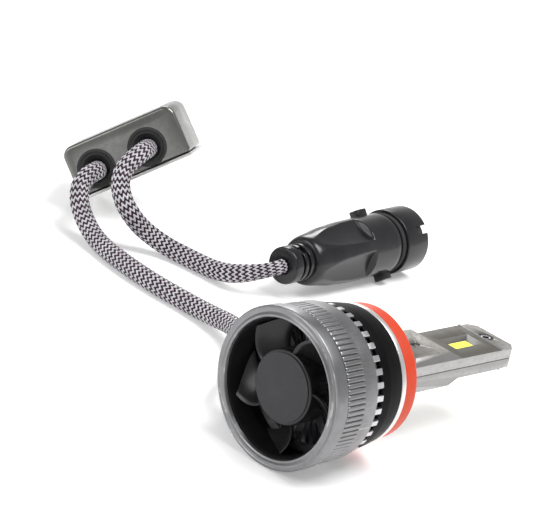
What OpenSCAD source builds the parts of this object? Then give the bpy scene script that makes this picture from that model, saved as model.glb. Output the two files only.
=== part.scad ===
// LED headlight bulb with a cooling fan, an in-line driver box and a two-pin round plug.
// Frame: +X runs along the bulb's axis towards the tip, +Z is up, out of the upper light window.
// The origin is on the axis, at the front face of the mounting flange.
// The bulb lies on its rear ring, and the cords, driver box and plug lie on the same surface.

/* [Housing] */
// Outer diameter of the rear ring, the widest part of the bulb
housing_d = 40; // [37:0.5:48]
// Diameter of the opening in front of the fan
opening_d = 34; // [31.5:0.5:34.4]
// Length of the rear ring
rear_ring_len = 4.3; // [3.6:0.1:5.2]
// Gap between the rear ring and the grip ribs
ring_gap = 0.4; // [0.3:0.1:0.5]
// Length of the ribbed part of the barrel
rib_len = 6.0; // [5:0.5:7.2]
// Length of the plain band of the barrel
band_len = 4.2; // [3.5:0.1:5]
// Depth of the grip ribs
rib_depth = 0.4; // [0.3:0.05:0.5]
// Number of grip ribs
rib_count = 90; // [60:6:96]
// Wall left between the barrel's ribs and its bore
barrel_wall = 2.0; // [1.6:0.1:2.4]

/* [Heat sink] */
// Length of the open air slots in front of the barrel
slot_len = 2.7; // [2.2:0.1:3.2]
// Number of cooling fins
fin_count = 36; // [24:2:40]
// Thickness of a cooling fin at the core
fin_t = 1.1; // [0.8:0.1:1.2]
// Thickness of a cooling fin at its outer edge
fin_edge_t = 1.5; // [1.1:0.1:1.8]
// Diameter of the heat sink's solid core
core_d = 15; // [13:0.5:17]
// Length of the fins that lies inside the barrel
fin_inside = 2.0; // [1.5:0.1:2.4]
// Diameter of the boss that carries the collar
boss_d = 23.8; // [22.5:0.1:25]

/* [Mounting collar] */
// Length of the black collar
collar_len = 8.3; // [7.5:0.1:9.5]
// Diameter of the collar's front edge
collar_front_d = 34.8; // [34.2:0.1:35.6]
// Thickness of the flange
flange_t = 1.5; // [1.2:0.1:1.9]
// Outer diameter of the seal ring
seal_d = 33.7; // [32:0.1:34]
// Width of the seal ring
seal_w = 4.8; // [3.6:0.1:5]
// Diameter of the neck that carries the seal ring
neck_d = 26.6; // [26:0.1:27.4]
// Length of the neck in front of the flange
neck_len = 5.6; // [5.1:0.1:6]

/* [Stem] */
// Distance from the flange to the tip of the stem
stem_len = 52.7; // [50:0.1:64]
// Width of the stem
stem_w = 15.6; // [14:0.1:15.8]
// Thickness of the stem over both halves
stem_t = 5.4; // [5.2:0.1:7.2]
// Thickness of the stem's root over both halves
root_t = 8.6; // [8:0.1:9]
// Where the thick root ends, measured from the flange
root_len = 28; // [24:0.1:28.4]
// Length of the ramp from the root down to the flat
root_ramp = 3.2; // [2.4:0.1:3.6]
// Chamfer at the corners of the tip
tip_chamfer = 2.2; // [1.5:0.1:3]
// Distance from the tip to the bright ridge across the stem
ridge_back = 5.8; // [5.4:0.1:6.6]
// Distance from the tip to the centre of the light window
window_back = 13.2; // [12.8:0.1:14]
// Length of the light window
window_l = 10.6; // [9.5:0.1:11]
// Width of the light window
window_w = 5.8; // [5:0.1:7]
// Length of the light source
led_l = 7.4; // [6.5:0.1:8]
// Width of the light source
led_w = 3.7; // [3:0.1:4]
// Thickness of the copper core plate between the halves
core_plate_t = 1.8; // [1.5:0.1:2]
// Outer diameter of the tip screw's head
tip_screw_d = 3.8; // [3:0.1:4]

/* [Fan] */
// Diameter over the fan blades
blade_d = 32.6; // [28:0.2:33]
// Diameter of the fan's hub
hub_d = 18.6; // [17.4:0.2:20]
// How far the hub lies behind the rear plane
hub_recess = 2.2; // [1.8:0.1:2.8]
// Depth of the hub along the axis
hub_depth = 6.8; // [6.4:0.1:7]
// Number of fan blades
blade_count = 5; // [4:1:7]
// Diameter of the fan's shaft
shaft_d = 2.0; // [1.6:0.1:2.4]
// Radial clearance of the shaft in its bearing
shaft_fit = 0.03; // [0.02:0.01:0.08]

/* [Driver box] */
// Length of the driver box
box_l = 34; // [33:0.5:44]
// Depth of the driver box behind its front face
box_d = 24; // [23:0.5:32]
// Height of the driver box
box_h = 15.6; // [15.2:0.1:20]
// Wall of the driver box
box_wall = 1.2; // [1:0.1:1.5]
// Thickness of the base plate
base_t = 1.1; // [0.9:0.1:1.4]
// Diameter of the two cord holes
box_hole_d = 11.2; // [10.6:0.1:11.4]

/* [Plug] */
// Length of the plug from the boot's disc to the open end
plug_len = 54.5; // [53:0.1:66]
// Outer diameter of the plug's end shell
shell_d = 18.6; // [18:0.1:18.9]
// Length of the end shell
shell_len = 9.3; // [8:0.1:9.6]
// Diameter of the plug's round barrel
plug_barrel_d = 17.4; // [17:0.1:17.8]
// Diameter of the cord boot's disc
boot_d = 10.6; // [9.6:0.1:11.5]
// Diameter of a contact pin
pin_d = 1.6; // [1.2:0.1:2]

/* [Cords] */
// Diameter of the braided cords
cord_d = 5.4; // [4.6:0.1:5.4]

/* [Hidden] */

$fn = 96;
eps = 0.01;
// small clearance of pieces that slide together when the bulb is built
fit = 0.05;
// clearance of the seal ring, the collar and the stem in their seats
seat_fit = 0.05;

// stations along the axis, from the flange's front face at zero back to the rear plane
x_flange = -flange_t;
x_collar = x_flange - collar_len;
x_slot = x_collar - slot_len;
x_band = x_slot - band_len;
x_rib = x_band - rib_len;
x_ring = x_rib - ring_gap;
x_rear = x_ring - rear_ring_len;

housing_r = housing_d / 2;
rib_r = housing_r - 0.4;
rib_w = 0.62 * 2 * PI * rib_r / rib_count;
band_r = housing_r - 0.6;
bore_r = rib_r - rib_depth - barrel_wall;
tooth_r = band_r - 0.6;
collar_back_r = tooth_r - 0.5;
fin_r = bore_r - seat_fit;
spigot_len = 3;
spigot_wall = 0.7;
sink_disc_t = 1.6;
x_sink_face = x_flange + 1.0;
socket_depth = 6;

stem_w_fit = stem_w + 2 * seat_fit;
root_t_fit = root_t + 2 * seat_fit;
x_root = x_sink_face - socket_depth;
half_t = stem_t / 2;
half_root = root_t / 2;
x_ridge = stem_len - ridge_back;
x_window = stem_len - window_back;
plate_w = stem_w - 3;
plate_end = stem_len - 2.5;
plate_half = core_plate_t / 2;
led_t = 0.6;
led_border = 0.3;
emitter_t = 0.15;
x_tip_screw = stem_len - 3.6;
x_root_screw = root_len - 14.4;
root_screw_y = stem_w / 2 - 2.4;
wire_slot_x = root_len - 6.7;
wire_slot_y = 0.3;
wire_slot_l = 3.4;
wire_slot_w = 1.8;

hub_r = hub_d / 2;
hub_wall = 0.9;
x_hub = x_rear + hub_recess;
x_hub_end = x_hub + hub_depth;
magnet_t = 0.8;
magnet_r = hub_r - hub_wall;
air_gap = 0.5;
coil_r = magnet_r - magnet_t - air_gap;
shaft_r = shaft_d / 2;
bearing_r = shaft_r + 1.5;
post_r = bearing_r + 0.8;
post_len = 3.4;
x_bracket = x_hub_end + 1.4;
bracket_t = 1.2;
x_shaft_end = x_bracket + bracket_t - 0.2;
board_t = 0.6;
fan_screw_r = bore_r - 2.6;
x_stator = x_bracket - 3.2;
stator_t = 1.6;
pole_w = 1.8;
pole_shoe_t = 0.8;

gland_x = x_band + 2.1;
gland_turn = 20;
gland_r = 4.2;
gland_tip_r = 3.3;
gland_stem_r = 1.8;
gland_end_r = 26;

plug_pos = [53.4, 75.3, -10.5];
plug_yaw = 5;
plug_lug_turn = 38;
box_pos = [43, 132, 1.2];
box_turn = [-15, -36, -44];
hole_x = [-9.5, 6.1];
hole_z = -0.9;
grommet_flange = 0.6;
grommet_wall = 1.6;
base_screw_x = 4;
base_screw_y = 4.2;
base_screw_r = 1.5;
base_screw_t = 0.6;
// the driver's board, and the floor that its parts stand on
driver_board_t = 1.2;
board_z = -box_h / 2 + base_t + 1.2;
parts_z = board_z + driver_board_t;
cord_r = cord_d / 2;

// bulb cord, from the gland on the barrel to the left hole of the driver box
bulb_route = [
    [-14.6, 24.4, -8.9], [-14, 26.8, -9.8], [-11.8, 29.2, -10.8], [-8.4, 31.9, -11.8],
    [-4, 34.8, -12.5], [1.6, 38.6, -13], [8, 43.7, -13.3], [13.6, 50, -13.9],
    [17.2, 57, -15], [19, 64.5, -16.3], [19.8, 72, -17.1], [19.8, 80, -17.3], [19.6, 88, -17.3],
    [20.1, 97, -17.3], [21.2, 106, -17.3], [22.5, 113, -17.2], [23.6, 119, -16.2],
    [24.4, 124.2, -13.8], [25.2, 128.2, -10.6], [27.2, 131.2, -7.4], [30.8, 132.9, -5.2],
    [34.6, 134.3, -4.8], [37.8, 136.5, -5.5]];

// plug cord, from the right hole of the driver box to the plug's boot
plug_route = [
    [46.9, 127.8, 3.7], [43.7, 125.5, 4.5], [40, 123.6, 4.5], [36.4, 122.8, 3],
    [33.4, 122.2, 0.4], [31.6, 120.4, -2.9], [31.1, 117.6, -6.2], [32.4, 115, -9.4],
    [35.2, 113, -12.6], [38.5, 110.4, -15.2], [41, 106.4, -16.8], [42.5, 101.4, -17.3],
    [43.2, 96, -17.3], [43.6, 90.4, -16.9], [44.1, 85, -15.7], [45.8, 80.2, -13.8],
    [48.4, 76.9, -12], [50.8, 75.3, -10.9], [53.4, 75.3, -10.5]];

// ---------- helpers ----------

// a revolved outline, points given as [x, radius], turned so that its axis is X
module turned(outline) {
    rotate([0, 90, 0])
    rotate_extrude()
    polygon([for (p = outline) [p[1], p[0]]]);
}

// a cylinder along X that starts at x
module rod_x(x, len, r) {
    translate([x, 0, 0])
    rotate([0, 90, 0])
    cylinder(h = len, r = r);
}

// an outline in Y and Z, extruded along X
module bar_x(x, len) {
    translate([x, 0, 0])
    rotate([90, 0, 90])
    linear_extrude(len)
    children();
}

// the outline of a ribbed or toothed round, with each tooth's width at its edge and at its root
function toothed(count, r_out, r_in, w_out, w_in) = [for (i = [0:count - 1]) each
    let (a = i * 360 / count, h_out = asin(w_out / 2 / r_out), h_in = asin(w_in / 2 / r_in))
    [[r_in * cos(a - h_in), r_in * sin(a - h_in)], [r_out * cos(a - h_out), r_out * sin(a - h_out)],
     [r_out * cos(a + h_out), r_out * sin(a + h_out)], [r_in * cos(a + h_in), r_in * sin(a + h_in)]]];

function unit(v) = v / norm(v);

// directions of travel at each point of a route
function tangents(path) = [for (i = [0:len(path) - 1])
    unit(path[min(i + 1, len(path) - 1)] - path[max(i - 1, 0)])];

// side vectors that turn as little as they can along a route
function sides(t, i = 0, s = [0, 0, 1]) = i >= len(t) ? [] :
    let (n = unit(s - t[i] * (s * t[i]))) concat([n], sides(t, i + 1, n));

// a round tube swept along a route as one closed polyhedron
module cord(path, r, n = 12) {
    t = tangents(path);
    s = sides(t);
    rings = [for (i = [0:len(path) - 1]) for (k = [0:n - 1])
        path[i] + r * (cos(k * 360 / n) * s[i] + sin(k * 360 / n) * cross(t[i], s[i]))];
    last = len(path) - 1;
    quads = [for (i = [0:last - 1]) for (k = [0:n - 1]) each
        let (a = i * n + k, b = i * n + (k + 1) % n)
        [[a, a + n, b + n], [a, b + n, b]]];
    start = [for (k = [0:n - 1]) k];
    finish = [for (k = [n - 1:-1:0]) last * n + k];
    polyhedron(points = rings, faces = concat(quads, [start, finish]));
}

// places a child drawn in the driver box's own frame: X along its length, Y into the box
module in_box() {
    translate(box_pos)
    rotate(box_turn)
    children();
}

// places a child drawn along X from the face of the plug's boot
module in_plug() {
    translate(plug_pos)
    rotate([0, 0, plug_yaw])
    children();
}

// ---------- fan housing ----------

module rear_ring() {
    r_open = opening_d / 2;
    color("silver")
    turned([[x_rear + 0.5, r_open], [x_rear, r_open + 0.45], [x_rear + 0.15, r_open + 0.9],
        [x_rear + 0.5, r_open + 1.5], [x_rear + 0.35, housing_r - 0.8], [x_rear + 0.45, housing_r - 0.25],
        [x_rear + 0.7, housing_r], [x_ring - 0.3, housing_r], [x_ring, housing_r - 0.3],
        [x_ring, bore_r - fit], [x_ring + spigot_len, bore_r - fit],
        [x_ring + spigot_len, min(r_open, bore_r - fit - spigot_wall)],
        [x_ring, min(r_open, bore_r - fit - spigot_wall)]]);
}

module barrel() {
    color("gray")
    difference() {
        union() {
            bar_x(x_rib, rib_len)
            polygon(toothed(rib_count, rib_r, rib_r - rib_depth, rib_w, rib_w));
            turned([[x_band, bore_r], [x_band, band_r], [x_slot, band_r], [x_slot, bore_r]]);
        }
        rod_x(x_rib - 1, rib_len + band_len + 2, bore_r);
        translate([gland_x, 0, 0])
        rotate([-90 - gland_turn, 0, 0])
        cylinder(h = housing_r + 1, r = gland_stem_r);
    }
}

module heat_sink() {
    color("silver")
    difference() {
        union() {
            bar_x(x_slot - fin_inside, fin_inside + eps)
            polygon(toothed(fin_count, fin_r, core_d / 2, fin_edge_t, fin_t));
            bar_x(x_slot, slot_len)
            polygon(toothed(fin_count, tooth_r, core_d / 2, fin_edge_t, fin_t));
            rod_x(x_collar - eps, sink_disc_t, fin_r);
            rod_x(x_collar, x_sink_face - x_collar, boss_d / 2);
        }
        translate([x_root - fit, -stem_w_fit / 2, -root_t_fit / 2])
        cube([socket_depth + 1, stem_w_fit, root_t_fit]);
    }
}

// ---------- mounting collar ----------

module collar() {
    r_front = collar_front_d / 2;
    x_step = x_collar + sink_disc_t + fit;
    color("black")
    turned([[x_collar, fin_r + fit], [x_collar, collar_back_r - 0.3], [x_collar + 0.3, collar_back_r],
        [x_collar + 3.2, collar_back_r - 0.1], [x_collar + 5.6, (collar_back_r + r_front) / 2],
        [x_flange - 0.4, r_front], [x_flange, r_front - 0.3], [x_flange, boss_d / 2 + seat_fit],
        [x_step, boss_d / 2 + seat_fit], [x_step, fin_r + fit]]);
}

module mount_flange() {
    color("silver")
    difference() {
        turned([[x_flange, boss_d / 2 + seat_fit], [x_flange, collar_front_d / 2 - 0.2],
            [x_flange + 0.3, collar_front_d / 2], [-0.3, collar_front_d / 2], [0, collar_front_d / 2 - 0.3],
            [0, neck_d / 2], [neck_len - 0.4, neck_d / 2], [neck_len, neck_d / 2 - 0.4], [neck_len, 0],
            [neck_len - 1.6, 0], [neck_len - 1.6, boss_d / 2 - 1], [x_sink_face + fit, boss_d / 2 - 1],
            [x_sink_face + fit, boss_d / 2 + seat_fit]]);
        translate([0, -stem_w_fit / 2, -root_t_fit / 2])
        cube([neck_len + 1, stem_w_fit, root_t_fit]);
    }
}

module seal_ring() {
    r = seal_d / 2;
    corner = 0.9;
    color("orangered")
    turned(concat([[0, neck_d / 2 + seat_fit]],
        [for (a = [180:-15:90]) [corner + corner * cos(a), r - corner + corner * sin(a)]],
        [for (a = [90:-15:0]) [seal_w - corner + corner * cos(a), r - corner + corner * sin(a)]],
        [[seal_w, neck_d / 2 + seat_fit]]));
}

// ---------- stem ----------

// the stem's outline from above, with its chamfered tip
module stem_plan(w = stem_w) {
    polygon([[x_root, -w / 2], [stem_len - tip_chamfer, -w / 2], [stem_len, -w / 2 + tip_chamfer],
        [stem_len, w / 2 - tip_chamfer], [stem_len - tip_chamfer, w / 2], [x_root, w / 2]]);
}

// the outline of one half from the side, with the thick root, its ramp and the ridge
module half_profile() {
    polygon([[x_root, 0], [stem_len, 0], [stem_len, half_t - 0.5], [stem_len - 0.5, half_t - 0.1],
        [x_ridge + 0.5, half_t - 0.1], [x_ridge + 0.25, half_t + 0.25], [x_ridge - 0.15, half_t + 0.25],
        [x_ridge - 0.5, half_t], [root_len + root_ramp, half_t], [root_len, half_root],
        [x_root, half_root]]);
}

// a light window with sloped walls, cut from the top face down to the core plate
module window_cut() {
    slope = 0.7;
    steps = 4;
    depth = half_t - plate_half;
    for (i = [0:steps - 1]) {
        grow = slope * (i + 1) / steps;
        translate([x_window - window_l / 2 + slope - grow, -window_w / 2 + slope - grow,
            plate_half - eps + depth * i / steps])
        cube([window_l - 2 * slope + 2 * grow, window_w - 2 * slope + 2 * grow, depth + 1]);
    }
}

module stem_half() {
    difference() {
        intersection() {
            translate([0, stem_w / 2, 0])
            rotate([90, 0, 0])
            linear_extrude(stem_w)
            half_profile();
            linear_extrude(half_root + 1)
            stem_plan();
        }
        translate([x_root - 1, -plate_w / 2 - fit, -1])
        cube([plate_end + fit - x_root + 1, plate_w + 2 * fit, 1 + plate_half + fit / 2]);
        window_cut();
        translate([x_tip_screw, 0, half_t - 1.2])
        cylinder(h = 3, r = tip_screw_d / 2 + 0.1);
        for (s = [-1, 1]) {
            translate([x_root_screw, s * root_screw_y, half_root - 1.6])
            cylinder(h = 3, r = 1.5 + fit);
        }
        hull() {
            for (s = [-1, 1]) {
                translate([wire_slot_x + s * (wire_slot_l - wire_slot_w) / 2, wire_slot_y, plate_half])
                cylinder(h = root_t, r = wire_slot_w / 2, $fn = 32);
            }
        }
        for (s = [-1, 1]) {
            translate([x_root - 1, s * stem_w / 2 - 0.4, -1])
            cube([stem_len + root_t + 10, 0.8, 1.12]);
        }
    }
}

module stem_top() {
    color("rosybrown")
    stem_half();
}

module stem_bottom() {
    color("rosybrown")
    rotate([180, 0, 0])
    stem_half();
}

module core_plate() {
    color("peru")
    translate([x_root, -plate_w / 2, -plate_half])
    cube([plate_end - x_root, plate_w, core_plate_t]);
}

// white carrier with the raised yellow emitter in its middle
module led() {
    translate([x_window - led_l / 2, -led_w / 2, plate_half])
    cube([led_l, led_w, led_t]);
    translate([x_window - led_l / 2 + led_border, -led_w / 2 + led_border, plate_half + led_t])
    cube([led_l - 2 * led_border, led_w - 2 * led_border, emitter_t]);
}

module led_top() {
    color("yellow")
    led();
}

module led_bottom() {
    color("yellow")
    rotate([180, 0, 0])
    led();
}

// the pair of light-source wires where they show in the slots at the root
module led_wires() {
    color("black")
    for (s = [0, 180]) {
        rotate([s, 0, 0])
        for (k = [-1, 1]) {
            translate([wire_slot_x + k * 0.85, wire_slot_y, plate_half])
            cylinder(h = half_root - plate_half - 0.3, r = 0.65);
        }
    }
}

// a countersunk socket screw, drawn with its head's top at z
module socket_screw(head_r, head_t, z, socket_r) {
    difference() {
        translate([0, 0, z - head_t])
        cylinder(h = head_t, r = head_r);
        translate([0, 0, z - head_t / 2])
        cylinder(h = head_t, r = socket_r, $fn = 6);
    }
}

module tip_screws() {
    color("dimgray")
    for (s = [0, 180]) {
        rotate([s, 0, 0])
        translate([x_tip_screw, 0, 0])
        socket_screw(tip_screw_d / 2 - 0.35, 1.0, half_t - 0.2, 0.75);
    }
}

module root_screws() {
    color("dimgray")
    for (turn = [0, 180]) {
        rotate([turn, 0, 0])
        for (s = [-1, 1]) {
            translate([x_root_screw, s * root_screw_y, 0])
            socket_screw(1.5, 1.4, half_root - 0.2, 0.7);
        }
    }
}

// ---------- fan ----------

module fan_bracket() {
    strut_w = 2.4;
    ring_w = 2.2;
    lug_r = 1.8;
    screw_hole_r = 0.8;
    color("black")
    difference() {
        union() {
            bar_x(x_bracket, bracket_t)
            difference() {
                union() {
                    circle(r = hub_r - 0.6);
                    difference() {
                        circle(r = bore_r - seat_fit);
                        circle(r = bore_r - ring_w);
                    }
                    for (a = [45:90:315]) {
                        rotate(a)
                        translate([0, -strut_w / 2])
                        square([bore_r - ring_w / 2, strut_w]);
                    }
                    for (a = [0:90:270]) {
                        rotate(a)
                        translate([fan_screw_r, 0])
                        circle(r = lug_r);
                    }
                }
                for (a = [0:90:270]) {
                    rotate(a)
                    translate([fan_screw_r, 0])
                    circle(r = screw_hole_r);
                }
            }
            rod_x(x_bracket - post_len, post_len + bracket_t / 2, post_r);
        }
        rod_x(x_bracket - post_len - 1, post_len + bracket_t + 2, bearing_r);
    }
}

// one fan blade, a curved plate that leans along the axis
module blade() {
    r_in = hub_r - 0.3;
    r_out = blade_d / 2;
    steps = 5;
    lean = 34;
    depth = hub_depth - 1.2;
    thick = 1.0;
    span = r_out - r_in;
    sweep = 22;
    points = [for (i = [0:steps]) each
        let (r = r_in + span * i / steps, swing = sweep * pow(i / steps, 1.6),
            half = lean / 2 + 2 * i / steps, t = thick * 90 / PI / r)
        [[x_hub + 0.6, r * cos(swing - half - t), r * sin(swing - half - t)],
         [x_hub + 0.6, r * cos(swing - half + t), r * sin(swing - half + t)],
         [x_hub + 0.6 + depth, r * cos(swing + half + t), r * sin(swing + half + t)],
         [x_hub + 0.6 + depth, r * cos(swing + half - t), r * sin(swing + half - t)]]];
    faces = concat(
        [for (i = [0:steps - 1]) for (k = [0:3]) each
            let (a = 4 * i + k, b = 4 * i + (k + 1) % 4)
            [[a, a + 4, b + 4], [a, b + 4, b]]],
        [[0, 1, 2, 3], [for (k = [3:-1:0]) 4 * steps + k]]);
    polyhedron(points = points, faces = faces);
}

module fan_rotor() {
    color("black")
    union() {
        turned([[x_hub + 0.3, 0], [x_hub + 0.3, hub_r - 0.5], [x_hub + 0.8, hub_r], [x_hub_end, hub_r],
            [x_hub_end, magnet_r], [x_hub + 1.3, magnet_r], [x_hub + 1.3, shaft_r], [x_hub + 0.8, shaft_r],
            [x_hub + 0.8, 0]]);
        for (i = [0:blade_count - 1]) {
            rotate([i * 360 / blade_count + 20, 0, 0])
            blade();
        }
    }
}

module hub_cap() {
    color("dimgray")
    rod_x(x_hub, 0.3, hub_r - 0.7);
}

module rotor_magnet() {
    color("darkslategray")
    turned([[x_hub + 1.5, magnet_r - magnet_t], [x_hub + 1.5, magnet_r], [x_hub_end - 0.5, magnet_r],
        [x_hub_end - 0.5, magnet_r - magnet_t]]);
}

module fan_shaft() {
    color("lightgray")
    rod_x(x_hub + 0.8, x_shaft_end - x_hub - 0.8, shaft_r);
}

module fan_bearing() {
    color("goldenrod")
    turned([[x_bracket - post_len, shaft_r + shaft_fit], [x_bracket - post_len, bearing_r],
        [x_bracket + bracket_t, bearing_r], [x_bracket + bracket_t, shaft_r + shaft_fit]]);
}

module stator_core() {
    shoe_gap = 1.2;
    color("lightslategray")
    difference() {
        union() {
            rod_x(x_stator, stator_t, post_r + 1);
            for (a = [0:60:300]) {
                rotate([a, 0, 0])
                translate([x_stator, -pole_w / 2, post_r])
                cube([stator_t, pole_w, coil_r - post_r - pole_shoe_t / 2]);
            }
            difference() {
                rod_x(x_stator, stator_t, coil_r);
                rod_x(x_stator - 1, stator_t + 2, coil_r - pole_shoe_t);
                for (a = [30:60:330]) {
                    rotate([a, 0, 0])
                    translate([x_stator - 1, -shoe_gap / 2, 0])
                    cube([stator_t + 2, shoe_gap, coil_r + 1]);
                }
            }
        }
        rod_x(x_stator - 1, stator_t + 2, post_r);
    }
}

module stator_coils() {
    coil_t = 0.35;
    coil_over = 0.5;
    color("orange")
    for (a = [0:60:300]) {
        rotate([a, 0, 0])
        difference() {
            translate([x_stator - coil_over, -pole_w / 2 - coil_t, post_r + 1.15])
            cube([stator_t + 2 * coil_over, pole_w + 2 * coil_t, coil_r - post_r - pole_shoe_t - 1.3]);
            translate([x_stator, -pole_w / 2, post_r])
            cube([stator_t, pole_w, coil_r]);
        }
    }
}

module fan_board() {
    color("green")
    turned([[x_bracket - board_t - 0.1, post_r + fit], [x_bracket - board_t - 0.1, hub_r - 1.2],
        [x_bracket - 0.1, hub_r - 1.2], [x_bracket - 0.1, post_r + fit]]);
}

module fan_screws() {
    color("lightgray")
    for (a = [0:90:270]) {
        rotate([a, 0, 0])
        translate([0, 0, fan_screw_r])
        union() {
            rod_x(x_bracket - 0.9, 0.9, 1.4);
            rod_x(x_bracket - 0.2, bracket_t + 0.2, 0.8);
        }
    }
}

module bulb_gland() {
    color("black")
    translate([gland_x, 0, 0])
    rotate([-90 - gland_turn, 0, 0])
    rotate_extrude()
    polygon([[0, bore_r + 0.3], [gland_stem_r - fit, bore_r + 0.3], [gland_stem_r - fit, rib_r + 0.1],
        [gland_r, rib_r + 0.1], [gland_r, rib_r + 1], [gland_tip_r + 0.4, rib_r + 1.5],
        [gland_tip_r, gland_end_r], [0, gland_end_r]]);
}

// ---------- driver box ----------

// the outline of the case seen from the front, rounded along its top edges
module case_outline(inset) {
    r = 3 - inset;
    w = box_l / 2 - inset;
    top = box_h / 2 - inset;
    low = -box_h / 2 + base_t;
    polygon(concat([[-w, low]],
        [for (a = [180:-15:90]) [-w + r + r * cos(a), top - r + r * sin(a)]],
        [for (a = [90:-15:0]) [w - r + r * cos(a), top - r + r * sin(a)]],
        [[w, low]]));
}

module driver_case() {
    color("gray")
    in_box()
    difference() {
        translate([0, box_d, 0])
        rotate([90, 0, 0])
        linear_extrude(box_d)
        case_outline(0);
        translate([0, box_d - box_wall, 0])
        rotate([90, 0, 0])
        linear_extrude(box_d - 2 * box_wall)
        case_outline(box_wall);
        for (x = hole_x) {
            translate([x, -1, hole_z])
            rotate([-90, 0, 0])
            cylinder(h = box_wall + 2, r = box_hole_d / 2);
        }
    }
}

// places a child at each of the four screws, at the underside of the base plate
module at_base_screws() {
    for (x = [-1, 1]) {
        for (y = [base_screw_y, box_d - base_screw_y]) {
            translate([x * (box_l / 2 - base_screw_x), y, -box_h / 2])
            children();
        }
    }
}

module driver_base() {
    low = -box_h / 2;
    lip_t = 1;
    lip_y = box_wall + 1;
    lip_h = 0.8;
    lip_l = box_l - 2 * box_wall - 2 * fit;
    lip_d = box_d - lip_y - box_wall - fit;
    color("lightgray")
    in_box()
    difference() {
        union() {
            translate([-box_l / 2, 0, low])
            cube([box_l, box_d, base_t - 0.1]);
            difference() {
                translate([-lip_l / 2, lip_y, low])
                cube([lip_l, lip_d, base_t + lip_h]);
                translate([-lip_l / 2 + lip_t, lip_y + lip_t, low])
                cube([lip_l - 2 * lip_t, lip_d - 2 * lip_t, base_t + 2]);
            }
        }
        at_base_screws() {
            translate([0, 0, -1])
            cylinder(h = 1 + base_screw_t + fit, r = base_screw_r + fit);
        }
    }
}

// rubber grommet in a cord hole, with a raised lip
module grommet(x) {
    r = box_hole_d / 2;
    color("black")
    in_box()
    translate([x, 0, hole_z])
    rotate([-90, 0, 0])
    rotate_extrude()
    polygon([[cord_r, 0], [r - grommet_wall, 0], [r - grommet_wall + 0.3, -grommet_flange],
        [r - 0.5, -grommet_flange], [r - fit, -0.2], [r - fit, box_wall + 0.05],
        [r + 0.15, box_wall + 0.05], [r + 0.15, box_wall + 0.8], [cord_r, box_wall + 0.8]]);
}

module bulb_grommet() {
    grommet(hole_x[0]);
}

module plug_grommet() {
    grommet(hole_x[1]);
}

module driver_board() {
    color("green")
    in_box()
    translate([-box_l / 2 + box_wall + 1.2, 4, board_z])
    cube([box_l - 2 * box_wall - 2.4, box_d - box_wall - 5, driver_board_t]);
}

module driver_choke() {
    color("saddlebrown")
    in_box()
    translate([-7, 13.5, parts_z])
    rotate_extrude()
    translate([3.4, 2.2])
    circle(r = 2.0, $fn = 32);
}

module driver_capacitors() {
    color("navy")
    in_box()
    for (x = [2.5, 10]) {
        translate([x, 17, parts_z])
        cylinder(h = box_h - base_t - 6, r = 3);
    }
}

module driver_chips() {
    color("dimgray")
    in_box()
    for (x = [1, 6.5, 12]) {
        translate([x - 2, 8, parts_z])
        cube([4, 5, 1.6]);
    }
}

module base_screws() {
    color("dimgray")
    in_box()
    at_base_screws() {
        translate([0, 0, 0.05])
        cylinder(h = base_screw_t - 0.05, r = base_screw_r);
    }
}

// ---------- plug ----------

plug_boot_len = 10;
plug_grip_end = 31;
plug_shell_x = plug_len - shell_len;
plug_nose_r = shell_d / 2 - 1.5;
plug_seal_w = 1.6;
lug_x = [36.4, 38.4];
lug_w = 3.6;
lug_h = 1.8;
pin_y = 3.6;
notch_turn = 51;
notch_l = 4.5;
notch_w = 2.4;
pin_len = 10;
socket_r = plug_nose_r - 1.2;
socket_floor = plug_len - 12;

module plug_boot() {
    r = boot_d / 2;
    color("black")
    in_plug()
    difference() {
        turned([[0, 0], [0, r - 0.5], [0.5, r], [2.8, r], [3.2, r - 0.3], [3.2, r - 1.4], [4.1, r - 1.4],
            [4.1, r - 0.3], [5.3, r - 0.2], [5.3, r - 1.4], [6.2, r - 1.4], [6.2, r - 0.1],
            [7.8, r], [7.8, r - 1.2], [plug_boot_len, r - 1.2], [plug_boot_len, 0]]);
        for (a = [0, 180]) {
            rotate([a + 20, 0, 0])
            translate([4.1, -1.2, r - 0.9])
            cube([1.2, 2.4, 3]);
        }
    }
}

module plug_body() {
    r = plug_barrel_d / 2;
    color("black")
    in_plug()
    difference() {
        union() {
            turned([[7.9, 0], [7.9, r - 2.6], [8.6, r - 2.1], [11, r - 1.5], [18, r - 0.5], [26, r],
                [plug_shell_x - plug_seal_w - 1.4, r], [plug_shell_x - plug_seal_w - 0.6, r - 0.4],
                [plug_shell_x - plug_seal_w, r - 0.6], [plug_shell_x - plug_seal_w, plug_nose_r],
                [plug_len - 1.5, plug_nose_r], [plug_len - 1.5, 0]]);
            for (i = [0, 1]) {
                rotate([180 * i - plug_lug_turn, 0, 0])
                translate([lug_x[i], -lug_w / 2, r - 0.8])
                cube([lug_w, lug_w, lug_h + 0.8]);
            }
        }
        for (a = [20, 100, 200, 280]) {
            rotate([a, 0, 0])
            translate([6, 0, r + 10.4])
            rotate([0, 90, 0])
            cylinder(h = plug_grip_end - 6, r = 12.2);
        }
        rod_x(socket_floor, plug_len, socket_r);
        rod_x(7, plug_boot_len - 7 + fit, boot_d / 2 - 1.2 + fit);
    }
}

module plug_shell() {
    r = shell_d / 2;
    color("black")
    in_plug()
    difference() {
        turned([[plug_shell_x, plug_nose_r + fit], [plug_shell_x, r - 0.3], [plug_shell_x + 0.3, r],
            [plug_len - 0.5, r], [plug_len, r - 0.5], [plug_len, plug_nose_r + fit]]);
        rotate([notch_turn, 0, 0])
        translate([plug_len - notch_l, -notch_w / 2, plug_nose_r - 0.5])
        cube([notch_l + 1, notch_w, 4]);
    }
}

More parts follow.
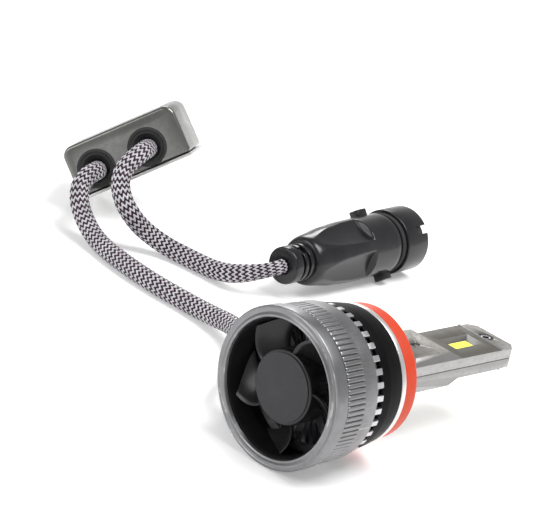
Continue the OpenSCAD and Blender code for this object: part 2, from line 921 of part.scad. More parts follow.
module plug_seal() {
    color("dimgray")
    in_plug()
    turned([[plug_shell_x - plug_seal_w, plug_nose_r + fit],
        [plug_shell_x - plug_seal_w, plug_nose_r + 0.5],
        [plug_shell_x - plug_seal_w / 2, plug_nose_r + 0.8],
        [plug_shell_x, plug_nose_r + 0.5], [plug_shell_x, plug_nose_r + fit]]);
}

module plug_insert() {
    color("dimgray")
    in_plug()
    difference() {
        rod_x(socket_floor, 2.4, socket_r - fit);
        for (s = [-1, 1]) {
            translate([0, s * pin_y, 0])
            rod_x(socket_floor - 1, 5, pin_d / 2 + fit);
        }
    }
}

module plug_pins() {
    color("gold")
    in_plug()
    for (s = [-1, 1]) {
        translate([0, s * pin_y, 0])
        rod_x(socket_floor, pin_len, pin_d / 2);
    }
}

// ---------- cords ----------

module bulb_cord() {
    color("lightgray")
    cord(bulb_route, cord_r);
}

module plug_cord() {
    color("lightgray")
    cord(plug_route, cord_r);
}

rear_ring();
barrel();
heat_sink();
collar();
mount_flange();
seal_ring();
stem_top();
stem_bottom();
core_plate();
led_top();
led_bottom();
led_wires();
tip_screws();
root_screws();
fan_bracket();
fan_rotor();
hub_cap();
rotor_magnet();
fan_shaft();
fan_bearing();
stator_core();
stator_coils();
fan_board();
fan_screws();
bulb_gland();
bulb_cord();
driver_case();
driver_base();
bulb_grommet();
plug_grommet();
driver_board();
driver_choke();
driver_capacitors();
driver_chips();
base_screws();
plug_cord();
plug_boot();
plug_body();
plug_shell();
plug_seal();
plug_insert();
plug_pins();
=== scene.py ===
"""LED headlight bulb with its fan, driver box, braided cords and round plug.

Everything is in the part's frame: +X along the bulb's axis to the tip of the stem, +Z up,
the origin on the axis at the front face of the mounting flange. Sizes are in millimetres
until a mesh is made, and the cords' routes are in metres.
"""

import math

import bmesh
import bpy
from mathutils import Euler, Matrix, Vector


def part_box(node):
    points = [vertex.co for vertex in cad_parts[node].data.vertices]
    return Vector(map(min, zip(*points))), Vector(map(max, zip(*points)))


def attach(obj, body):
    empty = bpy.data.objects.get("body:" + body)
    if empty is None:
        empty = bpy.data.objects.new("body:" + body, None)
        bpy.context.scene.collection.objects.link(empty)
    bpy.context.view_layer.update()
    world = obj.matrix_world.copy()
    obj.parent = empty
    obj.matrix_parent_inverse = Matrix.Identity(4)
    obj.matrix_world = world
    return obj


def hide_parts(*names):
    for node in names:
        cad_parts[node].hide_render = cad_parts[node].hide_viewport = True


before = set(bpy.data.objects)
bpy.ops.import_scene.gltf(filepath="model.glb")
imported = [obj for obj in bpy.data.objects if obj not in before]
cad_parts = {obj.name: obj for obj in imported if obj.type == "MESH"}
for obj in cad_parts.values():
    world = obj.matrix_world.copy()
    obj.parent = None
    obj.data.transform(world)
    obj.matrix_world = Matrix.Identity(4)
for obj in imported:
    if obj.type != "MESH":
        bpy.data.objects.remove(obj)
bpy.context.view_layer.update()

bl_info = {
    "name": "Headlight bulb",
    "version": (1, 0, 0),
    "blender": (4, 5, 0),
    "location": "3D View > Sidebar > Headlight bulb",
    "description": "Builds an LED headlight bulb with its fan, driver box, cords and plug",
    "category": "Object",
}

MM = 0.001

# ---------- places taken from the frame, in millimetres ----------


def low(node):
    """The lowest corner of a CAD node, in millimetres."""
    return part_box(node)[0] / MM


def high(node):
    """The highest corner of a CAD node, in millimetres."""
    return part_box(node)[1] / MM


X_REAR = low("rear_ring").x
X_RIB = low("barrel").x
X_SLOT = high("barrel").x
X_COLLAR = low("collar").x
X_FLANGE = high("collar").x
X_NECK = high("mount_flange").x
X_ROOT = low("stem_top").x
X_TIP = high("stem_top").x
X_HUB = low("hub_cap").x
X_HUB_END = high("fan_rotor").x
# gap between the rear ring and the grip ribs
RING_GAP = 0.4
X_RING = X_RIB - RING_GAP
HOUSING_R = high("rear_ring").z
RIB_R = high("barrel").z
TOOTH_R = high("heat_sink").z
COLLAR_R = high("collar").z
FLANGE_R = high("mount_flange").z
SEAL_R = high("seal_ring").z
SEAL_W = high("seal_ring").x
HALF_ROOT = high("stem_top").z
STEM_W = high("stem_top").y - low("stem_top").y
FLOOR_Z = low("rear_ring").z
SHAFT_R = 1.0
# clearance of a piece in its seat
SEAT_FIT = 0.05

# the driver box and the plug lie turned, so their own frames are repeated from the design
BOX_POS = Vector((43, 132, 1.2))
BOX_TURN = Euler([math.radians(a) for a in (-15, -36, -44)], "XYZ")
PLUG_POS = Vector((53.4, 75.3, -10.5))
PLUG_TURN = Euler((0, 0, math.radians(5)), "XYZ")
IN_BOX = Matrix.Translation(BOX_POS) @ BOX_TURN.to_matrix().to_4x4()
IN_PLUG = Matrix.Translation(PLUG_POS) @ PLUG_TURN.to_matrix().to_4x4()
# the cord holes in the box's front face, and where the plug's two lugs start along it
HOLE_X = {"bulb": -9.5, "plug": 6.1}
HOLE_Z = -0.9
LUG_X = (36.4, 38.4)

# the routes of the cords, in metres
BULB_ROUTE = [
    (-0.0146, 0.0244, -0.0089), (-0.014, 0.0268, -0.0098), (-0.0118, 0.0292, -0.0108),
    (-0.0084, 0.0319, -0.0118), (-0.004, 0.0348, -0.0125), (0.0016, 0.0386, -0.013),
    (0.008, 0.0437, -0.0133), (0.0136, 0.05, -0.0139), (0.0172, 0.057, -0.015),
    (0.019, 0.0645, -0.0163), (0.0198, 0.072, -0.0171), (0.0198, 0.08, -0.0173),
    (0.0196, 0.088, -0.0173), (0.0201, 0.097, -0.0173), (0.0212, 0.106, -0.0173),
    (0.0225, 0.113, -0.0172), (0.0236, 0.119, -0.0162), (0.0244, 0.1242, -0.0138),
    (0.0252, 0.1282, -0.0106), (0.0272, 0.1312, -0.0074), (0.0308, 0.1329, -0.0052),
    (0.0346, 0.1343, -0.0048), (0.0378, 0.1365, -0.0055),
]
PLUG_ROUTE = [
    (0.0469, 0.1278, 0.0037), (0.0437, 0.1255, 0.0045), (0.04, 0.1236, 0.0045),
    (0.0364, 0.1228, 0.003), (0.0334, 0.1222, 0.0004), (0.0316, 0.1204, -0.0029),
    (0.0311, 0.1176, -0.0062), (0.0324, 0.115, -0.0094), (0.0352, 0.113, -0.0126),
    (0.0385, 0.1104, -0.0152), (0.041, 0.1064, -0.0168), (0.0425, 0.1014, -0.0173),
    (0.0432, 0.096, -0.0173), (0.0436, 0.0904, -0.0169), (0.0441, 0.085, -0.0157),
    (0.0458, 0.0802, -0.0138), (0.0484, 0.0769, -0.012), (0.0508, 0.0753, -0.0109),
    (0.0534, 0.0753, -0.0105),
]

# ---------- settings a user would change ----------


def length_prop(name, description, default_mm):
    """A length in metres with its default given in millimetres."""
    return bpy.props.FloatProperty(
        name=name, description=description, default=default_mm * MM,
        min=0.0, unit="LENGTH", subtype="DISTANCE", precision=5,
    )


class HeadlightHousingSettings(bpy.types.PropertyGroup):
    """Sizes of the fan housing and the mounting collar."""

    opening_d: length_prop("Opening", "Diameter of the opening in front of the fan", 34.0)
    rib_depth: length_prop("Rib depth", "Depth of the grip ribs on the barrel", 0.4)
    rib_len: length_prop("Rib length", "Length of the ribbed part of the barrel", 6.0)
    barrel_wall: length_prop("Barrel wall", "Wall between the ribs and the barrel's bore", 2.0)
    fin_t: length_prop("Fin thickness", "Thickness of a cooling fin at the core", 1.1)
    fin_edge_t: length_prop("Fin edge", "Thickness of a cooling fin at its outer edge", 1.5)
    core_d: length_prop("Core", "Diameter of the heat sink's solid core", 15.0)
    boss_d: length_prop("Boss", "Diameter of the boss that carries the collar", 23.8)
    neck_d: length_prop("Neck", "Diameter of the neck that carries the seal", 26.6)
    rib_count: bpy.props.IntProperty(
        name="Ribs", description="Number of grip ribs round the barrel", default=90, min=12)
    fin_count: bpy.props.IntProperty(
        name="Fins", description="Number of cooling fins", default=36, min=8)


class HeadlightStemSettings(bpy.types.PropertyGroup):
    """Sizes of the flat stem and its light windows."""

    half_t: length_prop("Half thickness", "Thickness of one half of the stem", 2.7)
    root_len: length_prop("Root", "Where the thick root ends, from the flange", 28.0)
    root_ramp: length_prop("Ramp", "Length of the ramp from the root to the flat", 3.2)
    tip_chamfer: length_prop("Chamfer", "Chamfer at the corners of the tip", 2.2)
    ridge_back: length_prop("Ridge", "Distance from the tip to the ridge", 5.8)
    window_back: length_prop("Window place", "Distance from the tip to the window", 13.2)
    window_l: length_prop("Window length", "Length of the light window", 10.6)
    window_w: length_prop("Window width", "Width of the light window", 5.8)
    led_l: length_prop("Light source length", "Length of the light source", 7.4)
    led_w: length_prop("Light source width", "Width of the light source", 3.7)
    led_border: length_prop("Light source rim", "Rim round the light source's emitter", 0.3)
    screw_back: length_prop("Tip screw place", "Distance from the tip to its screw", 3.6)
    slot_back: length_prop("Wire slot", "Distance from the root's end to the wire slot", 6.7)
    screw_d: length_prop("Tip screw", "Diameter of the tip screw's seat", 3.8)
    root_screw_back: length_prop("Root screws", "Distance from the root's end to its screws", 14.4)


class HeadlightFanSettings(bpy.types.PropertyGroup):
    """Sizes of the cooling fan."""

    blade_d: length_prop("Blades", "Diameter over the fan blades", 32.6)
    hub_d: length_prop("Hub", "Diameter of the fan's hub", 18.6)
    hub_wall: length_prop("Hub wall", "Wall of the fan's hub", 0.9)
    blade_count: bpy.props.IntProperty(
        name="Blade count", description="Number of fan blades", default=5, min=3, max=9)
    first_blade: bpy.props.FloatProperty(
        name="First blade", description="Angle of the first blade about the axis",
        default=math.radians(20), subtype="ANGLE", unit="ROTATION")


class HeadlightBoxSettings(bpy.types.PropertyGroup):
    """Sizes of the driver box."""

    size: bpy.props.FloatVectorProperty(
        name="Size", description="Length, depth and height of the driver box", size=3,
        default=(0.034, 0.024, 0.0156), unit="LENGTH", subtype="XYZ")
    corner_r: length_prop("Corner", "Radius of the case's top corners", 3.0)
    base_t: length_prop("Base", "Thickness of the base plate", 1.1)
    wall: length_prop("Wall", "Wall of the case", 1.2)
    hole_d: length_prop("Cord hole", "Diameter of a cord hole", 11.2)


class HeadlightPlugSettings(bpy.types.PropertyGroup):
    """Sizes of the plug."""

    length: length_prop("Length", "Length from the boot's disc to the open end", 54.5)
    shell_d: length_prop("Shell", "Outer diameter of the end shell", 18.6)
    shell_len: length_prop("Shell length", "Length of the end shell", 9.3)
    barrel_d: length_prop("Barrel", "Diameter of the round barrel", 17.4)
    boot_d: length_prop("Boot", "Diameter of the cord boot's disc", 10.6)
    grip_end: length_prop("Grip", "Where the scooped grip panels end", 31.0)
    lug_turn: bpy.props.FloatProperty(
        name="Lugs", description="Angle of the two lugs about the plug's axis",
        default=math.radians(-38), subtype="ANGLE", unit="ROTATION")
    notch_turn: bpy.props.FloatProperty(
        name="Notch", description="Angle of the end shell's notch about the plug's axis",
        default=math.radians(51), subtype="ANGLE", unit="ROTATION")


class HeadlightCordSettings(bpy.types.PropertyGroup):
    """Sizes of the braided cords."""

    diameter: length_prop("Diameter", "Diameter over the braid", 5.4)
    lead: length_prop("Lead", "Length of one full turn of a braid carrier", 22.0)
    carriers: bpy.props.IntProperty(
        name="Carriers", description="Number of braid carriers in each direction",
        default=24, min=8, max=32, step=2)


class HeadlightLookSettings(bpy.types.PropertyGroup):
    """Colours and the studio's light."""

    housing_colour: bpy.props.FloatVectorProperty(
        name="Housing", description="Anodised grey of the housing", size=3,
        subtype="COLOR", default=(0.235, 0.235, 0.241))
    seal_colour: bpy.props.FloatVectorProperty(
        name="Seal", description="Colour of the silicone seal", size=3,
        subtype="COLOR", default=(0.58, 0.05, 0.011))
    stem_colour: bpy.props.FloatVectorProperty(
        name="Stem face", description="Warm grey of the stem's faces", size=3,
        subtype="COLOR", default=(0.088, 0.082, 0.068))
    key_power: bpy.props.FloatProperty(
        name="Key light", description="Power of the key light", default=9.0, min=0.0, unit="POWER")


def settings():
    """The scene's settings of this object."""
    return bpy.context.scene.headlight


def bore_radius():
    """The radius of the barrel's bore, in millimetres."""
    housing = settings().housing
    return RIB_R - (housing.rib_depth + housing.barrel_wall) / MM


# ---------- shader node groups ----------


def new_group(name, inputs, outputs):
    """An empty shader node group with named float, colour or vector sockets."""
    group = bpy.data.node_groups.new(name, "ShaderNodeTree")
    kinds = {"f": "NodeSocketFloat", "c": "NodeSocketColor", "v": "NodeSocketVector"}
    for label, kind, default in inputs:
        item = group.interface.new_socket(name=label, in_out="INPUT", socket_type=kinds[kind])
        if default is not None:
            item.default_value = default
    for label, kind in outputs:
        group.interface.new_socket(name=label, in_out="OUTPUT", socket_type=kinds[kind])
    return group, group.nodes.new("NodeGroupInput"), group.nodes.new("NodeGroupOutput")


def add(tree, kind, values=None, **props):
    """A node with its properties and its unlinked input values set."""
    node = tree.nodes.new(kind)
    for key, value in props.items():
        setattr(node, key, value)
    for key, value in (values or {}).items():
        node.inputs[key].default_value = value
    return node


def scaled_coordinates(tree, scale_socket, stretch=(1, 1, 1)):
    """Object coordinates times the scale, stretched along the axes."""
    place = add(tree, "ShaderNodeTexCoord")
    squeeze = add(tree, "ShaderNodeVectorMath", operation="MULTIPLY")
    squeeze.inputs[1].default_value = stretch
    grow = add(tree, "ShaderNodeVectorMath", operation="SCALE")
    tree.links.new(place.outputs["Object"], squeeze.inputs[0])
    tree.links.new(squeeze.outputs[0], grow.inputs[0])
    tree.links.new(scale_socket, grow.inputs["Scale"])
    return grow.outputs[0]


def make_fine_grain():
    """Fine grain: a value for roughness and colour, and a height for bump."""
    group, start, end = new_group(
        "fine_grain", [("Scale", "f", 4000.0), ("Contrast", "f", 1.0)],
        [("Value", "f"), ("Height", "f")])
    noise = add(group, "ShaderNodeTexNoise", {"Scale": 1.0, "Detail": 4.0, "Roughness": 0.6})
    cloud = add(group, "ShaderNodeTexNoise", {"Scale": 0.06, "Detail": 3.0})
    coords = scaled_coordinates(group, start.outputs["Scale"])
    mix = add(group, "ShaderNodeMath", operation="MULTIPLY_ADD")
    mix.inputs[1].default_value = 0.5
    centre = add(group, "ShaderNodeMath", operation="SUBTRACT")
    centre.inputs[1].default_value = 0.75
    gain = add(group, "ShaderNodeMath", operation="MULTIPLY_ADD", use_clamp=True)
    gain.inputs[2].default_value = 0.5
    for texture in (noise, cloud):
        group.links.new(coords, texture.inputs["Vector"])
    group.links.new(noise.outputs[0], mix.inputs[0])
    group.links.new(cloud.outputs[0], mix.inputs[2])
    group.links.new(mix.outputs[0], centre.inputs[0])
    group.links.new(centre.outputs[0], gain.inputs[0])
    group.links.new(start.outputs["Contrast"], gain.inputs[1])
    group.links.new(gain.outputs[0], end.inputs["Value"])
    group.links.new(noise.outputs[0], end.inputs["Height"])
    return group


def make_turned_rings():
    """Lathe marks: fine rings round the bulb's axis, as a height value."""
    group, start, end = new_group("turned_rings", [("Scale", "f", 5000.0)], [("Height", "f")])
    place = add(group, "ShaderNodeTexCoord")
    split = add(group, "ShaderNodeSeparateXYZ")
    square_z = add(group, "ShaderNodeMath", operation="MULTIPLY")
    radius2 = add(group, "ShaderNodeMath", operation="MULTIPLY_ADD")
    radius = add(group, "ShaderNodeMath", operation="SQRT")
    pair = add(group, "ShaderNodeCombineXYZ")
    grow = add(group, "ShaderNodeVectorMath", operation="SCALE")
    noise = add(group, "ShaderNodeTexNoise", {"Scale": 1.0, "Detail": 3.0, "Roughness": 0.7})
    group.links.new(place.outputs["Object"], split.inputs[0])
    for k in (0, 1):
        group.links.new(split.outputs["Z"], square_z.inputs[k])
        group.links.new(split.outputs["Y"], radius2.inputs[k])
    group.links.new(square_z.outputs[0], radius2.inputs[2])
    group.links.new(radius2.outputs[0], radius.inputs[0])
    group.links.new(radius.outputs[0], pair.inputs["Y"])
    group.links.new(split.outputs["X"], pair.inputs["X"])
    group.links.new(pair.outputs[0], grow.inputs[0])
    group.links.new(start.outputs["Scale"], grow.inputs["Scale"])
    group.links.new(grow.outputs[0], noise.inputs["Vector"])
    group.links.new(noise.outputs[0], end.inputs["Height"])
    return group


def make_edge_wear():
    """A mask of edges where the finish is rubbed, broken up by noise."""
    group, start, end = new_group(
        "edge_wear", [("Amount", "f", 0.5), ("Scale", "f", 900.0)], [("Mask", "f")])
    shape = add(group, "ShaderNodeNewGeometry")
    ramp = add(group, "ShaderNodeMapRange",
               {"From Min": 0.52, "From Max": 0.62}, clamp=True)
    noise = add(group, "ShaderNodeTexNoise", {"Scale": 1.0, "Detail": 5.0, "Roughness": 0.65})
    coords = scaled_coordinates(group, start.outputs["Scale"])
    broken = add(group, "ShaderNodeMath", operation="MULTIPLY")
    scaled = add(group, "ShaderNodeMath", operation="MULTIPLY", use_clamp=True)
    group.links.new(shape.outputs["Pointiness"], ramp.inputs["Value"])
    group.links.new(coords, noise.inputs["Vector"])
    group.links.new(ramp.outputs[0], broken.inputs[0])
    group.links.new(noise.outputs[0], broken.inputs[1])
    group.links.new(broken.outputs[0], scaled.inputs[0])
    group.links.new(start.outputs["Amount"], scaled.inputs[1])
    group.links.new(scaled.outputs[0], end.inputs["Mask"])
    return group


def make_fine_dust():
    """A mask of dust and fingermarks that lies in soft patches."""
    group, start, end = new_group(
        "fine_dust", [("Scale", "f", 260.0), ("Amount", "f", 0.3)], [("Mask", "f")])
    noise = add(group, "ShaderNodeTexNoise",
                {"Scale": 1.0, "Detail": 8.0, "Roughness": 0.7, "Distortion": 0.4})
    coords = scaled_coordinates(group, start.outputs["Scale"])
    ramp = add(group, "ShaderNodeMapRange", {"From Min": 0.42, "From Max": 0.72}, clamp=True)
    scaled = add(group, "ShaderNodeMath", operation="MULTIPLY")
    group.links.new(coords, noise.inputs["Vector"])
    group.links.new(noise.outputs[0], ramp.inputs["Value"])
    group.links.new(ramp.outputs[0], scaled.inputs[0])
    group.links.new(start.outputs["Amount"], scaled.inputs[1])
    group.links.new(scaled.outputs[0], end.inputs["Mask"])
    return group


GROUP_MAKERS = {
    "fine_grain": make_fine_grain, "turned_rings": make_turned_rings,
    "edge_wear": make_edge_wear, "fine_dust": make_fine_dust,
}


def shared(tree, name, **values):
    """The shared node group of that name, placed in a material with its own values."""
    node = tree.nodes.new("ShaderNodeGroup")
    node.node_tree = bpy.data.node_groups.get(name) or GROUP_MAKERS[name]()
    for key, value in values.items():
        node.inputs[key].default_value = value
    return node


# ---------- materials ----------


def material(name, colour, tint, rough, rough_to=None, metal=0.0, grain=4000.0, bump=0.15,
             bump_mm=0.02, wear=0.0, wear_colour=(0.8, 0.8, 0.8), dust=0.12, rings=0.0,
             sheen=0.0, specular=0.5, glow=0.0):
    """A finish with grain in its colour, roughness and relief, rubbed edges and fine dust."""
    found = bpy.data.materials.get(name)
    if found:
        return found
    made = bpy.data.materials.new(name)
    made.use_nodes = True
    tree = made.node_tree
    link = tree.links.new
    shader = tree.nodes["Principled BSDF"]
    shader.inputs["Metallic"].default_value = metal
    shader.inputs["Specular IOR Level"].default_value = specular
    shader.inputs["Sheen Weight"].default_value = sheen
    noise = shared(tree, "fine_grain", Scale=grain, Contrast=1.6)
    base = add(tree, "ShaderNodeMix", data_type="RGBA")
    base.inputs[6].default_value = (*colour, 1)
    base.inputs[7].default_value = (*tint, 1)
    link(noise.outputs["Value"], base.inputs[0])
    colour_out = base.outputs[2]
    if wear:
        edges = shared(tree, "edge_wear", Amount=wear)
        rubbed = add(tree, "ShaderNodeMix", data_type="RGBA")
        rubbed.inputs[7].default_value = (*wear_colour, 1)
        link(colour_out, rubbed.inputs[6])
        link(edges.outputs["Mask"], rubbed.inputs[0])
        colour_out = rubbed.outputs[2]
    marks = shared(tree, "fine_dust", Amount=dust)
    dusty = add(tree, "ShaderNodeMix", data_type="RGBA")
    dusty.inputs[7].default_value = (*[0.55 * c + 0.25 for c in colour], 1)
    link(colour_out, dusty.inputs[6])
    link(marks.outputs["Mask"], dusty.inputs[0])
    link(dusty.outputs[2], shader.inputs["Base Color"])
    rough_range = add(tree, "ShaderNodeMapRange",
                      {"To Min": rough, "To Max": rough_to or rough + 0.12})
    link(noise.outputs["Value"], rough_range.inputs["Value"])
    rough_dust = add(tree, "ShaderNodeMath", operation="MULTIPLY_ADD", use_clamp=True)
    rough_dust.inputs[1].default_value = 0.5
    link(marks.outputs["Mask"], rough_dust.inputs[0])
    link(rough_range.outputs[0], rough_dust.inputs[2])
    link(rough_dust.outputs[0], shader.inputs["Roughness"])
    height = noise.outputs["Height"]
    if rings:
        turned = shared(tree, "turned_rings")
        blend = add(tree, "ShaderNodeMath", operation="MULTIPLY_ADD")
        blend.inputs[1].default_value = rings
        link(turned.outputs["Height"], blend.inputs[0])
        link(noise.outputs["Height"], blend.inputs[2])
        height = blend.outputs[0]
    relief = add(tree, "ShaderNodeBump", {"Strength": bump, "Distance": bump_mm * MM})
    link(height, relief.inputs["Height"])
    link(relief.outputs[0], shader.inputs["Normal"])
    # glow is emission in the finish's own colour: a painted glow on the light source's emitter, and an
    # even brightness on the floor
    if glow:
        link(colour_out, shader.inputs["Emission Color"])
        shader.inputs["Emission Strength"].default_value = glow
    return made


def housing_grey():
    colour = tuple(settings().look.housing_colour)
    return material("anodised_grey", colour, tuple(0.8 * c for c in colour), 0.3, 0.42, 1.0,
                    grain=5200, bump=0.25, rings=0.8, wear=0.5, dust=0.1)


def bare_aluminium():
    return material("bare_aluminium", (0.62, 0.62, 0.64), (0.44, 0.44, 0.46), 0.24, 0.4, 1.0,
                    grain=3600, bump=0.3, rings=0.5, dust=0.08)


def flange_silver():
    return material("turned_silver", (0.72, 0.72, 0.71), (0.58, 0.58, 0.57), 0.3, 0.42, 1.0,
                    grain=4200, bump=0.3, rings=1.0, dust=0.06)


def stem_face():
    colour = tuple(settings().look.stem_colour)
    return material("stem_face", colour, tuple(0.84 * c for c in colour), 0.4, 0.52, 0.55,
                    grain=4800, bump=0.3, wear=0.7, wear_colour=(0.75, 0.73, 0.7), dust=0.1)


def stem_side():
    return material("stem_side", (0.29, 0.285, 0.28), (0.235, 0.232, 0.228), 0.34, 0.46, 0.85,
                    grain=4400, bump=0.3, wear=0.4, dust=0.08)


def black_anodised():
    return material("black_anodised", (0.002, 0.002, 0.0023), (0.004, 0.004, 0.0045), 0.38, 0.5,
                    grain=5000, bump=0.2, rings=0.5, wear=0.1, wear_colour=(0.1, 0.1, 0.1),
                    dust=0.005, specular=0.05)


# painted shade: the housing's inner surfaces behind the opening are painted near-black for the shade
# inside it
def bore_painted_shade():
    return material("bore_painted_shade", (0.006, 0.006, 0.0065), (0.012, 0.012, 0.0125), 0.5, 0.65,
                    grain=3000, bump=0.2, dust=0.01, specular=0.08)


def fan_black():
    return material("fan_black", (0.007, 0.007, 0.0075), (0.012, 0.012, 0.013), 0.24, 0.36,
                    grain=2600, bump=0.2, dust=0.02, specular=0.35)


def disc_grey():
    return material("disc_grey", (0.034, 0.034, 0.037), (0.027, 0.027, 0.03), 0.4, 0.52,
                    grain=2200, bump=0.18, dust=0.03, specular=0.2)


def seal_orange():
    colour = tuple(settings().look.seal_colour)
    return material("seal_orange", colour, (colour[0] * 0.9, colour[1] * 0.8, colour[2]),
                    0.36, 0.5, grain=1800, bump=0.12, dust=0.05, specular=0.3)


def box_grey():
    return material("box_grey", (0.16, 0.16, 0.15), (0.12, 0.12, 0.113), 0.24, 0.34, 0.95,
                    grain=3000, bump=0.3, bump_mm=0.03, wear=0.5, dust=0.1)


def base_silver():
    return material("base_silver", (0.62, 0.62, 0.61), (0.5, 0.5, 0.49), 0.3, 0.44, 0.9,
                    grain=3200, bump=0.3, wear=0.4, dust=0.1)


def rubber_black():
    return material("rubber_black", (0.004, 0.004, 0.004), (0.008, 0.008, 0.008), 0.14, 0.26,
                    grain=2400, bump=0.2, dust=0.01, specular=0.4)


def plug_black():
    return material("plug_black", (0.007, 0.007, 0.008), (0.012, 0.012, 0.014), 0.17, 0.28,
                    grain=1500, bump=0.22, bump_mm=0.04, wear=0.15,
                    wear_colour=(0.1, 0.1, 0.11), dust=0.01, specular=0.4)


# painted glow: the light source is not lit, and its emitter's emission only brightens its yellow
def phosphor_painted_glow():
    return material("phosphor_painted_glow", (0.95, 0.93, 0.07), (0.85, 0.9, 0.05), 0.4, 0.5,
                    grain=3000, bump=0.2, dust=0.02, glow=0.35)


def led_carrier():
    return material("led_carrier", (0.9, 0.9, 0.86), (0.82, 0.82, 0.78), 0.45, 0.55,
                    grain=3000, bump=0.1, dust=0.03)


# painted shade: the tip screws' rim and socket are painted near-black for the shadow in the countersink
# and the socket
def screw_painted_shade():
    return material("screw_painted_shade", (0.006, 0.006, 0.0065), (0.014, 0.014, 0.015), 0.3, 0.45,
                    grain=3500, bump=0.3, wear=0.15, wear_colour=(0.3, 0.3, 0.3), dust=0.02,
                    specular=0.2)


def braid_white():
    return material("braid_white", (0.6, 0.59, 0.61), (0.36, 0.35, 0.385), 0.34, 0.5,
                    grain=2600, bump=0.5, bump_mm=0.05, dust=0.06, sheen=0.1)


def braid_black():
    return material("braid_black", (0.01, 0.007, 0.011), (0.05, 0.02, 0.033), 0.36, 0.5,
                    grain=900, bump=0.5, bump_mm=0.05, dust=0.02, specular=0.2)


# finishes of the CAD nodes that are shown as they are
NODE_FINISHES = {
    "core_plate": ("copper_plate", (0.72, 0.36, 0.22), (0.6, 0.28, 0.17), 0.28, 1.0, 2600),
    "led_wires": ("wire_black", (0.012, 0.012, 0.012), (0.02, 0.02, 0.02), 0.22, 0.0, 2000),
    "root_screws": ("zinc_steel", (0.4, 0.4, 0.41), (0.28, 0.28, 0.29), 0.3, 1.0, 3000),
    "fan_bracket": ("bracket_black", (0.005, 0.005, 0.006), (0.009, 0.009, 0.01), 0.4, 0.0, 2400),
    "rotor_magnet": ("ferrite_grey", (0.06, 0.06, 0.064), (0.09, 0.09, 0.095), 0.55, 0.2, 1800),
    "fan_shaft": ("ground_steel", (0.66, 0.66, 0.67), (0.52, 0.52, 0.53), 0.16, 1.0, 6000),
    "fan_bearing": ("sintered_bronze", (0.55, 0.36, 0.15), (0.4, 0.25, 0.1), 0.4, 1.0, 2200),
    "stator_core": ("laminated_steel", (0.4, 0.42, 0.44), (0.3, 0.31, 0.33), 0.35, 1.0, 5200),
    "stator_coils": ("enamelled_copper", (0.6, 0.24, 0.08), (0.42, 0.14, 0.04), 0.22, 0.8, 5200),
    "fan_board": ("solder_mask", (0.02, 0.16, 0.07), (0.03, 0.22, 0.1), 0.28, 0.0, 1500),
    "fan_screws": ("zinc_steel", (0.4, 0.4, 0.41), (0.28, 0.28, 0.29), 0.3, 1.0, 3000),
    "driver_board": ("solder_mask", (0.02, 0.16, 0.07), (0.03, 0.22, 0.1), 0.28, 0.0, 1500),
    "driver_choke": ("wound_ferrite", (0.3, 0.12, 0.05), (0.07, 0.06, 0.055), 0.4, 0.3, 1400),
    "driver_capacitors": ("sleeve_navy", (0.015, 0.03, 0.11), (0.02, 0.05, 0.16), 0.22, 0.0, 900),
    "driver_chips": ("moulded_epoxy", (0.015, 0.015, 0.015), (0.03, 0.03, 0.03), 0.5, 0.0, 2600),
    "base_screws": ("zinc_steel", (0.4, 0.4, 0.41), (0.28, 0.28, 0.29), 0.3, 1.0, 3000),
    "plug_insert": ("insert_grey", (0.05, 0.05, 0.052), (0.08, 0.08, 0.084), 0.42, 0.0, 1800),
    "plug_pins": ("gold_flash", (0.8, 0.58, 0.22), (0.66, 0.46, 0.16), 0.18, 1.0, 4200),
}

# ---------- mesh helpers, all in millimetres until the mesh is made ----------


def joined(parts):
    """Parts of (vertices, faces, finish) as one list each of vertices, faces and finishes."""
    vertices, faces, marks = [], [], []
    for part_vertices, part_faces, finish in parts:
        start = len(vertices)
        vertices += [tuple(v) for v in part_vertices]
        faces += [[start + i for i in face] for face in part_faces]
        marks += [finish] * len(part_faces) if isinstance(finish, int) else list(finish)
    return vertices, faces, marks


def piece(name, parts, finishes, replaced, place=None, body="root", smooth=35):
    """One object from parts of (vertices, faces, finish index), that rides on a body."""
    mesh = bpy.data.meshes.new(name)
    vertices, faces, marks = joined(parts)
    mesh.from_pydata(vertices, [], faces)
    mesh.polygons.foreach_set("material_index", marks)
    shell = bmesh.new()
    shell.from_mesh(mesh)
    bmesh.ops.remove_doubles(shell, verts=shell.verts, dist=1e-4)
    bmesh.ops.recalc_face_normals(shell, faces=shell.faces)
    shell.to_mesh(mesh)
    shell.free()
    mesh.transform((Matrix.Scale(MM, 4)) @ (place or Matrix.Identity(4)))
    for finish in finishes:
        mesh.materials.append(finish)
    made = bpy.data.objects.new(name, mesh)
    bpy.context.scene.collection.objects.link(made)
    soften(made, smooth)
    if replaced:
        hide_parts(*replaced)
    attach(made, body)
    return made


def soften(made, degrees):
    """Smooth shading with the edges sharper than the angle kept hard."""
    made.data.shade_smooth()
    made.data.set_sharp_from_angle(angle=math.radians(degrees))


def bevel(made, width_mm, segments=3, degrees=40):
    """Rounds the piece's hard edges."""
    step = made.modifiers.new("rounded_edges", "BEVEL")
    step.width = width_mm * MM
    step.segments = segments
    step.limit_method = "ANGLE"
    step.angle_limit = math.radians(degrees)
    step.use_clamp_overlap = True
    step.miter_outer = "MITER_ARC"
    return step


